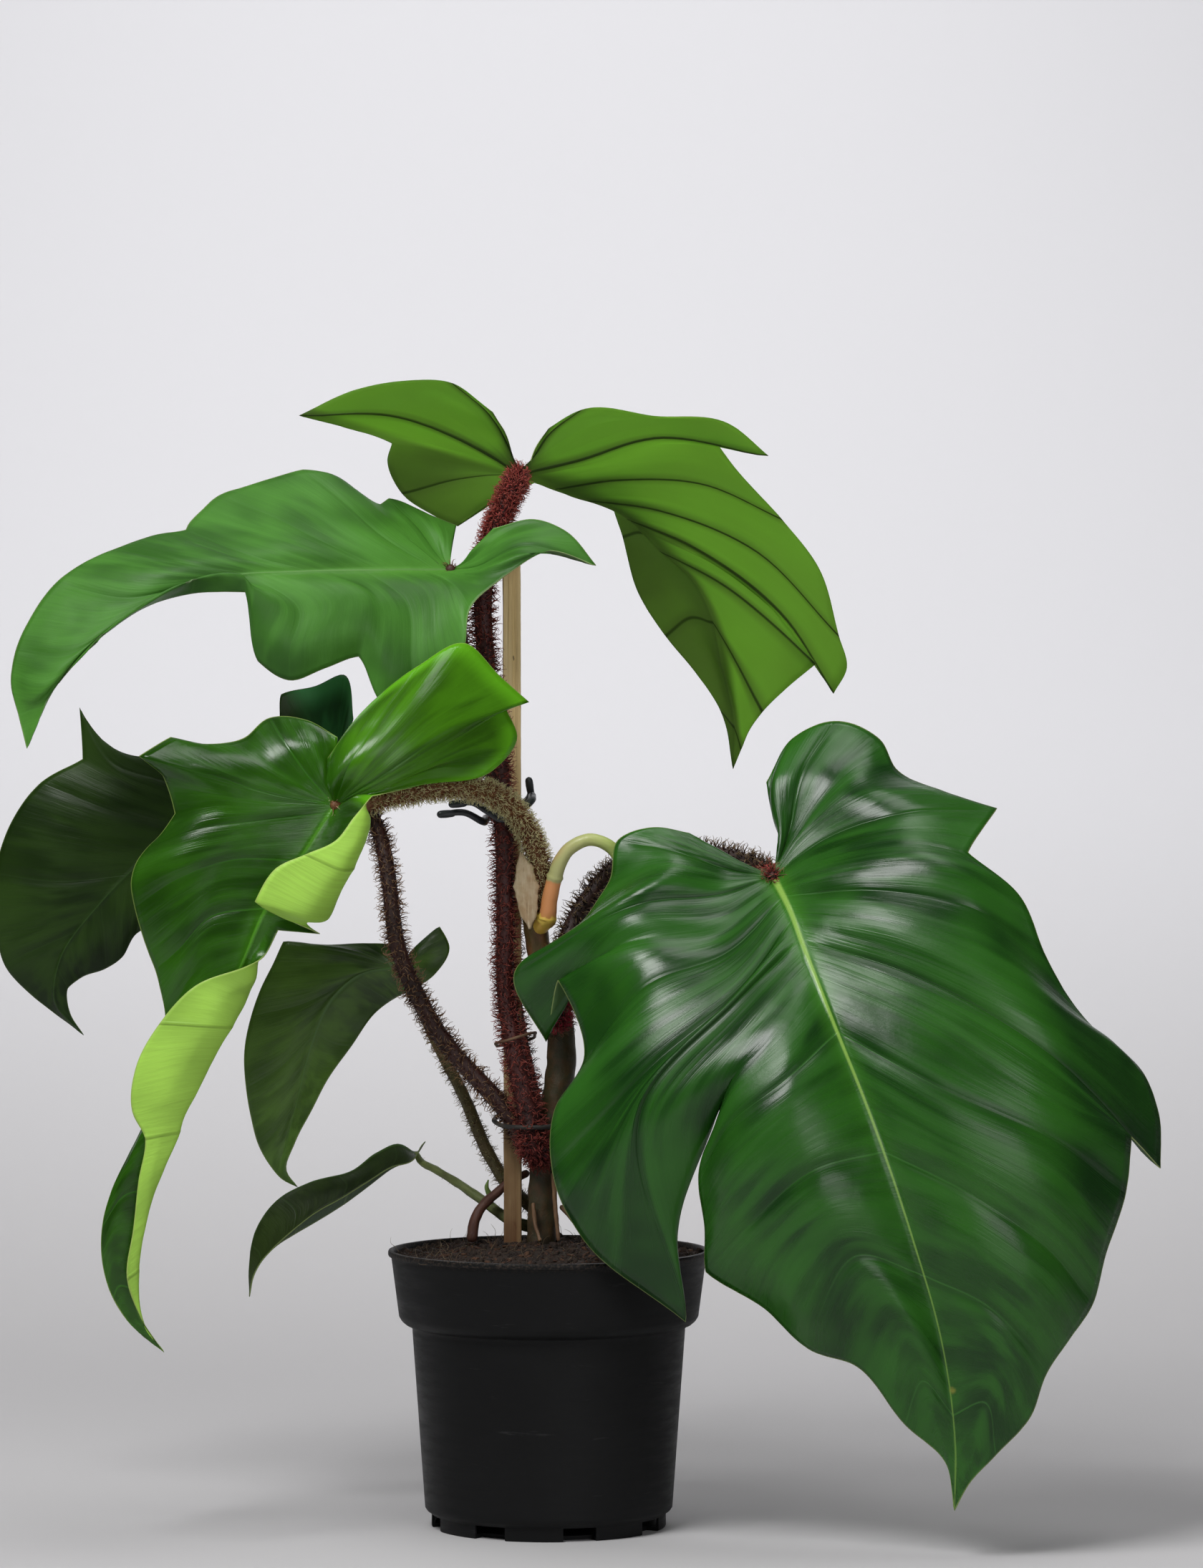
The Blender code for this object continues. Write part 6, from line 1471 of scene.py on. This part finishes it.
def make_stalks():
    """The leaf stalks, each rooted in the stem, with their hairs and red tufts."""
    curls = shape_collection("curls", [
        strand([(0.1, 0.1), (0.3, 0.2), (0.9, -0.1), (0.8, 0.3)], 0.13, 5, 3, 0.8),
        strand([(0.1, -0.2), (-0.2, -0.4), (-0.6, -0.7), (0.2, -0.9)], 0.12, 5, 3, 0.8),
        strand([(-0.1, 0.1), (0.3, 0.4), (0.9, 0.3), (0.8, -0.2)], 0.14, 5, 3, 0.8),
        strand([(0.1, 0.1), (0.2, 0.1), (-0.2, 0.4), (0.2, 0.6)], 0.11, 5, 3, 0.8)])
    for name, (skins, hairs) in STALKS.items():
        leaf_name = [key for key, leaf in LEAVES.items() if leaf["joins"] == name][0]
        route = list(ROUTES[name])
        end = route[-1]
        route.append((*(Vector(end[:3]) + Vector(LEAVES[leaf_name]["gap"])), end[3] * 0.75))
        route = rooted(route)
        stalk = sweep(name + "_stalk", route, skin(name + "_skin", *skins), sides=20, step=3.5, lumps=0.35)
        made_for(stalk, name)
        density, shortest, longest, tilt, root, tip = hairs
        top = max(p[2] for p in route) + POT_HEIGHT
        neck = Vector(end[:3]) + DATUM
        crowd = {"petiole_top": lambda p: 1.0 + 1.6 * smooth(top - 70, top - 10, p.z),
                 "petiole_bright": lambda p: smooth(8.0, 26.0, (p - neck).length)}.get(name, lambda p: 1.0)
        ground = ground_of(stalk, crowd)
        finish = hair_finish(name + "_hair", root, tip)
        trim(scatter(name + "_hairs", ground, curls, finish, density, shortest, longest, tilt, 0.0, 4))
        discard(ground)
        for number, (owner, middle, far, crowded, tint) in enumerate(TUFTS):
            if owner != name:
                continue
            centre = Vector(middle) + DATUM
            ground = ground_of(stalk, lambda p: 1.0 - smooth(far * 0.6, far, (p - centre).length))
            red = hair_finish("red_tuft_%d" % number, tuple(0.25 * c for c in tint), tint)
            trim(scatter("red_tuft_%d" % number, ground, curls, red, crowded, 3.6, 7.0, 0.8, 0.0, 9))
            discard(ground)
    discard(curls)


def make_stem():
    """The stem, the arched root with its ring and collar, the roots into the soil and the bud."""
    stem = sweep("climbing_stem", MAIN_STEM, stem_finish(), sides=32, step=2.2, lumps=0.9, lump_size=7.0)
    made_for(stem, "main_stem")
    route = ROUTES["arched_root"]
    root = sweep("arching_root", rooted(route[:2] + ROOT_RING + route[2:]), root_finish(), sides=20, step=2.0,
                 lumps=0.3)
    made_for(root, "arched_root")
    collar = sweep("root_collar", ROOT_COLLAR, tie_finish("collar_skin", (0.78, 0.56, 0.09), (0.70, 0.36, 0.07), 0.5),
                   sides=24, step=0.6, lumps=1.3, lump_size=1.6)
    trim(collar)
    for name, tones in SOIL_ROOTS.items():
        made_for(sweep(name + "_rod", ROUTES[name], skin(name + "_skin", *tones), sides=14, step=2.0, lumps=0.35,
                       lump_size=4.0), name)
    bud = sweep("green_bud", ROUTES["side_bud"], skin("bud_skin", (0.18, 0.30, 0.07), (0.25, 0.38, 0.10),
                                                      (0.30, 0.30, 0.12), (0.35, 0.5)), sides=14, step=1.2)
    made_for(bud, "side_bud")


def make_ties():
    """The clip's two jaws with their finger ends, and the two ties."""
    black = tie_finish("clip_plastic", (0.010, 0.012, 0.016), (0.03, 0.034, 0.04), 0.3)
    for name in ("clip_jaw_front", "clip_jaw_back"):
        route = [(*p[:3], p[3] * 1.25) for p in ROUTES[name]]
        made_for(sweep(name + "_rod", route, black, sides=14, step=1.6, flat=0.8), name)
        for end, beyond in ((0, 1), (-1, -2)):
            tip, before = Vector(route[end][:3]), Vector(route[beyond][:3])
            way = (tip - before).normalized()
            knob = [(*(tip - way * 7.0), 2.2), (*(tip - way * 3.0), 2.4), (*tip, 2.3)]
            trim(sweep("%s_knob_%d" % (name, end % 2), knob, black, sides=14, step=1.0))
    brown = tie_finish("paper_tie", (0.11, 0.055, 0.028), (0.17, 0.10, 0.05), 0.6)
    rubber = tie_finish("old_rubber", (0.016, 0.015, 0.014), (0.05, 0.04, 0.03), 0.6)
    for name, node, finish in (("brown_twist_tie", "twist_tie", brown), ("soft_lower_tie", "lower_tie", rubber)):
        made_for(sweep(name, CLOSED_ROUTES[node], finish, sides=10, step=2.0, closed=True), node)


def make_bract():
    """The papery bract: a creased strip with a ragged outline, given a thickness."""
    across, levels = 18, 40
    points, faces = [], []
    heights = [row[0] for row in SHEATH]
    for level in range(levels + 1):
        height = heights[0] + (heights[-1] - heights[0]) * level / levels
        k = min(len(SHEATH) - 2, max(n for n in range(len(SHEATH)) if heights[n] <= height + 1e-6))
        u = (height - heights[k]) / (heights[k + 1] - heights[k])
        u = u * u * (3 - 2 * u)
        middle, half, bow = [SHEATH[k][c] * (1 - u) + SHEATH[k + 1][c] * u for c in (1, 2, 3)]
        half *= (1.0 + 0.22 * hills.noise(Vector((height / 5.0, 3.0, 1.0)))
                 + 0.10 * hills.noise(Vector((height, 7.0, 2.0))))
        for c in range(across + 1):
            w = 2 * c / across - 1
            crease = 0.35 * math.sin(9 * w + 0.05 * height) + 0.5 * hills.noise(Vector((w * 2, height / 9, 0)))
            points.append(Vector((middle + half * w, SHEATH_Y + bow * w * w + crease * (1 - abs(w)) * 0.8,
                                  height)) + DATUM)
    for r in range(levels):
        for c in range(across):
            a = r * (across + 1) + c
            faces.append((a, a + 1, a + across + 2, a + across + 1))
    mesh = bpy.data.meshes.new("papery_bract")
    mesh.from_pydata([tuple(p * MM) for p in points], [], faces)
    bract = place_mesh("papery_bract", mesh, [paper_finish()])
    solid = bract.modifiers.new("thickness", "SOLIDIFY")
    solid.thickness, solid.offset = BRACT_THICKNESS * MM, 0.0
    made_for(bract, "dried_sheath")


def make_leaves():
    """Every blade, hung from the end of its stalk."""
    for name, leaf in LEAVES.items():
        leaf.update(BLADES[name])
        end = Vector(ROUTES[leaf["joins"]][-1][:3]) + DATUM
        shift = end + Vector(leaf["gap"]) - Vector(leaf["midrib"][0])
        made_for(blade(name + "_blade", leaf, shift, leaf_finishes(name, LOOKS[name])), name)


# ---------------------------------------------------------------- studio, in metres
PAPER_HALF_WIDTH = 6.0
PAPER_FRONT = -4.5
CURVE_START = 0.8
CURVE_RADIUS = 1.4
PAPER_TOP = 5.0
LAMPS = {  # place, what it looks at, (width, height), watts
    "key": ((-1.1, -1.7, 2.6), (0.0, 0.0, 0.35), (1.4, 1.1), 72.0),
    "top": ((0.4, -0.2, 2.7), (0.0, 0.0, 0.35), (1.3, 1.0), 16.0),
    "fill": ((1.2, -2.7, 0.9), (0.0, 0.0, 0.45), (1.4, 1.2), 15.0),
}
CAMERA_AT = (0.0315, -3.0, 0.443)
LENS = 115.2


def fade_out(tree, shader, place):
    """The paper thins out far from the plant, and isn't seen from behind."""
    split = add(tree, "ShaderNodeSeparateXYZ", {0: place})
    aside = eased(tree, sums(tree, "ABSOLUTE", split.outputs["X"]), 1.5, 3.0)
    nearer = eased(tree, split.outputs["Y"], -3.0, -1.5, 1.0, 0.0)
    behind = add(tree, "ShaderNodeNewGeometry").outputs["Backfacing"]
    gone = sums(tree, "MAXIMUM", sums(tree, "MAXIMUM", aside, nearer), behind)
    clear = add(tree, "ShaderNodeBsdfTransparent")
    both = add(tree, "ShaderNodeMixShader", {0: gone, 1: shader.outputs[0], 2: clear.outputs[0]})
    tree.links.new(both.outputs[0], tree.nodes["Material Output"].inputs["Surface"])


def make_paper():
    """A pale paper floor that curves up behind the plant, painted lighter higher up as painted light."""
    steps = 24
    profile = [(PAPER_FRONT, 0.0), (CURVE_START, 0.0)]
    for k in range(1, steps + 1):
        turn = math.pi / 2 * k / steps
        profile.append((CURVE_START + CURVE_RADIUS * math.sin(turn), CURVE_RADIUS - CURVE_RADIUS * math.cos(turn)))
    profile.append((CURVE_START + CURVE_RADIUS, PAPER_TOP))
    points, faces = [], []
    for y, z in profile:
        points += [(-PAPER_HALF_WIDTH, y, z), (PAPER_HALF_WIDTH, y, z)]
    for k in range(len(profile) - 1):
        faces.append((2 * k, 2 * k + 1, 2 * k + 3, 2 * k + 2))
    mesh = bpy.data.meshes.new("floor")
    mesh.from_pydata(points, [], faces)
    made, tree, shader, place = blank("pale_paper")
    cloud = mottle(tree, place, 1.2, 1.0)
    low = blend(tree, cloud, (0.56, 0.55, 0.555), (0.59, 0.58, 0.585))
    high = blend(tree, cloud, (0.72, 0.715, 0.74), (0.75, 0.745, 0.77))
    # Painted light: the paper is painted lighter higher up, as light falls off towards the floor.
    colour = blend(tree, side_of(tree, place, (0.0, 1.0, 210.0, 300.0), 0.0, 1.0), low, high)
    connect(tree, shader, colour, Roughness=0.9)
    fade_out(tree, shader, place)
    place_mesh("floor", mesh, [made])


def make_world():
    """A faint soft light from all round, and a pale grey where the paper ends."""
    world = bpy.context.scene.world or bpy.data.worlds.new("studio")
    bpy.context.scene.world = world
    world.use_nodes = True
    tree = world.node_tree
    soft = tree.nodes["Background"]
    soft.inputs["Color"].default_value = (0.84, 0.84, 0.88, 1.0)
    soft.inputs["Strength"].default_value = 0.07
    seen = add(tree, "ShaderNodeBackground", {"Color": (0.60, 0.60, 0.62), "Strength": 1.0})
    straight = add(tree, "ShaderNodeLightPath").outputs["Is Camera Ray"]
    both = add(tree, "ShaderNodeMixShader", {0: straight, 1: soft.outputs[0], 2: seen.outputs[0]})
    tree.links.new(both.outputs[0], tree.nodes["World Output"].inputs["Surface"])


def stand(name, data, at, to):
    """A lamp or camera at a place, looking at another."""
    obj = bpy.data.objects.new(name, data)
    obj.location = at
    obj.rotation_euler = (Vector(to) - Vector(at)).to_track_quat("-Z", "Y").to_euler()
    bpy.context.scene.collection.objects.link(obj)
    return obj


def make_studio():
    """The paper, the world, the lamps and the camera."""
    make_paper()
    make_world()
    for name, (at, to, size, power) in LAMPS.items():
        lamp = bpy.data.lights.new(name, "AREA")
        lamp.shape, lamp.size, lamp.size_y, lamp.energy = "RECTANGLE", size[0], size[1], power
        stand(name, lamp, at, to)
    wash = bpy.data.lights.new("backdrop", "SPOT")
    wash.energy, wash.spot_size, wash.spot_blend, wash.shadow_soft_size = 165.0, math.radians(78), 1.0, 0.4
    stand("backdrop", wash, (0.0, 0.5, 3.2), (0.0, CURVE_START + CURVE_RADIUS, 1.15))
    camera = bpy.data.cameras.new("camera")
    camera.lens, camera.sensor_width, camera.clip_end = LENS, 36.0, 50.0
    level = Vector(CAMERA_AT) + Vector((0.0, 1.0, 0.0))
    bpy.context.scene.camera = stand("camera", camera, CAMERA_AT, level)
    bpy.context.scene.view_settings.view_transform = "Standard"


SCATTER, INPUTS = scatter_tree()
make_studio()
make_pot()
make_soil()
make_stake()
make_stem()
make_stalks()
make_ties()
make_bract()
make_leaves()
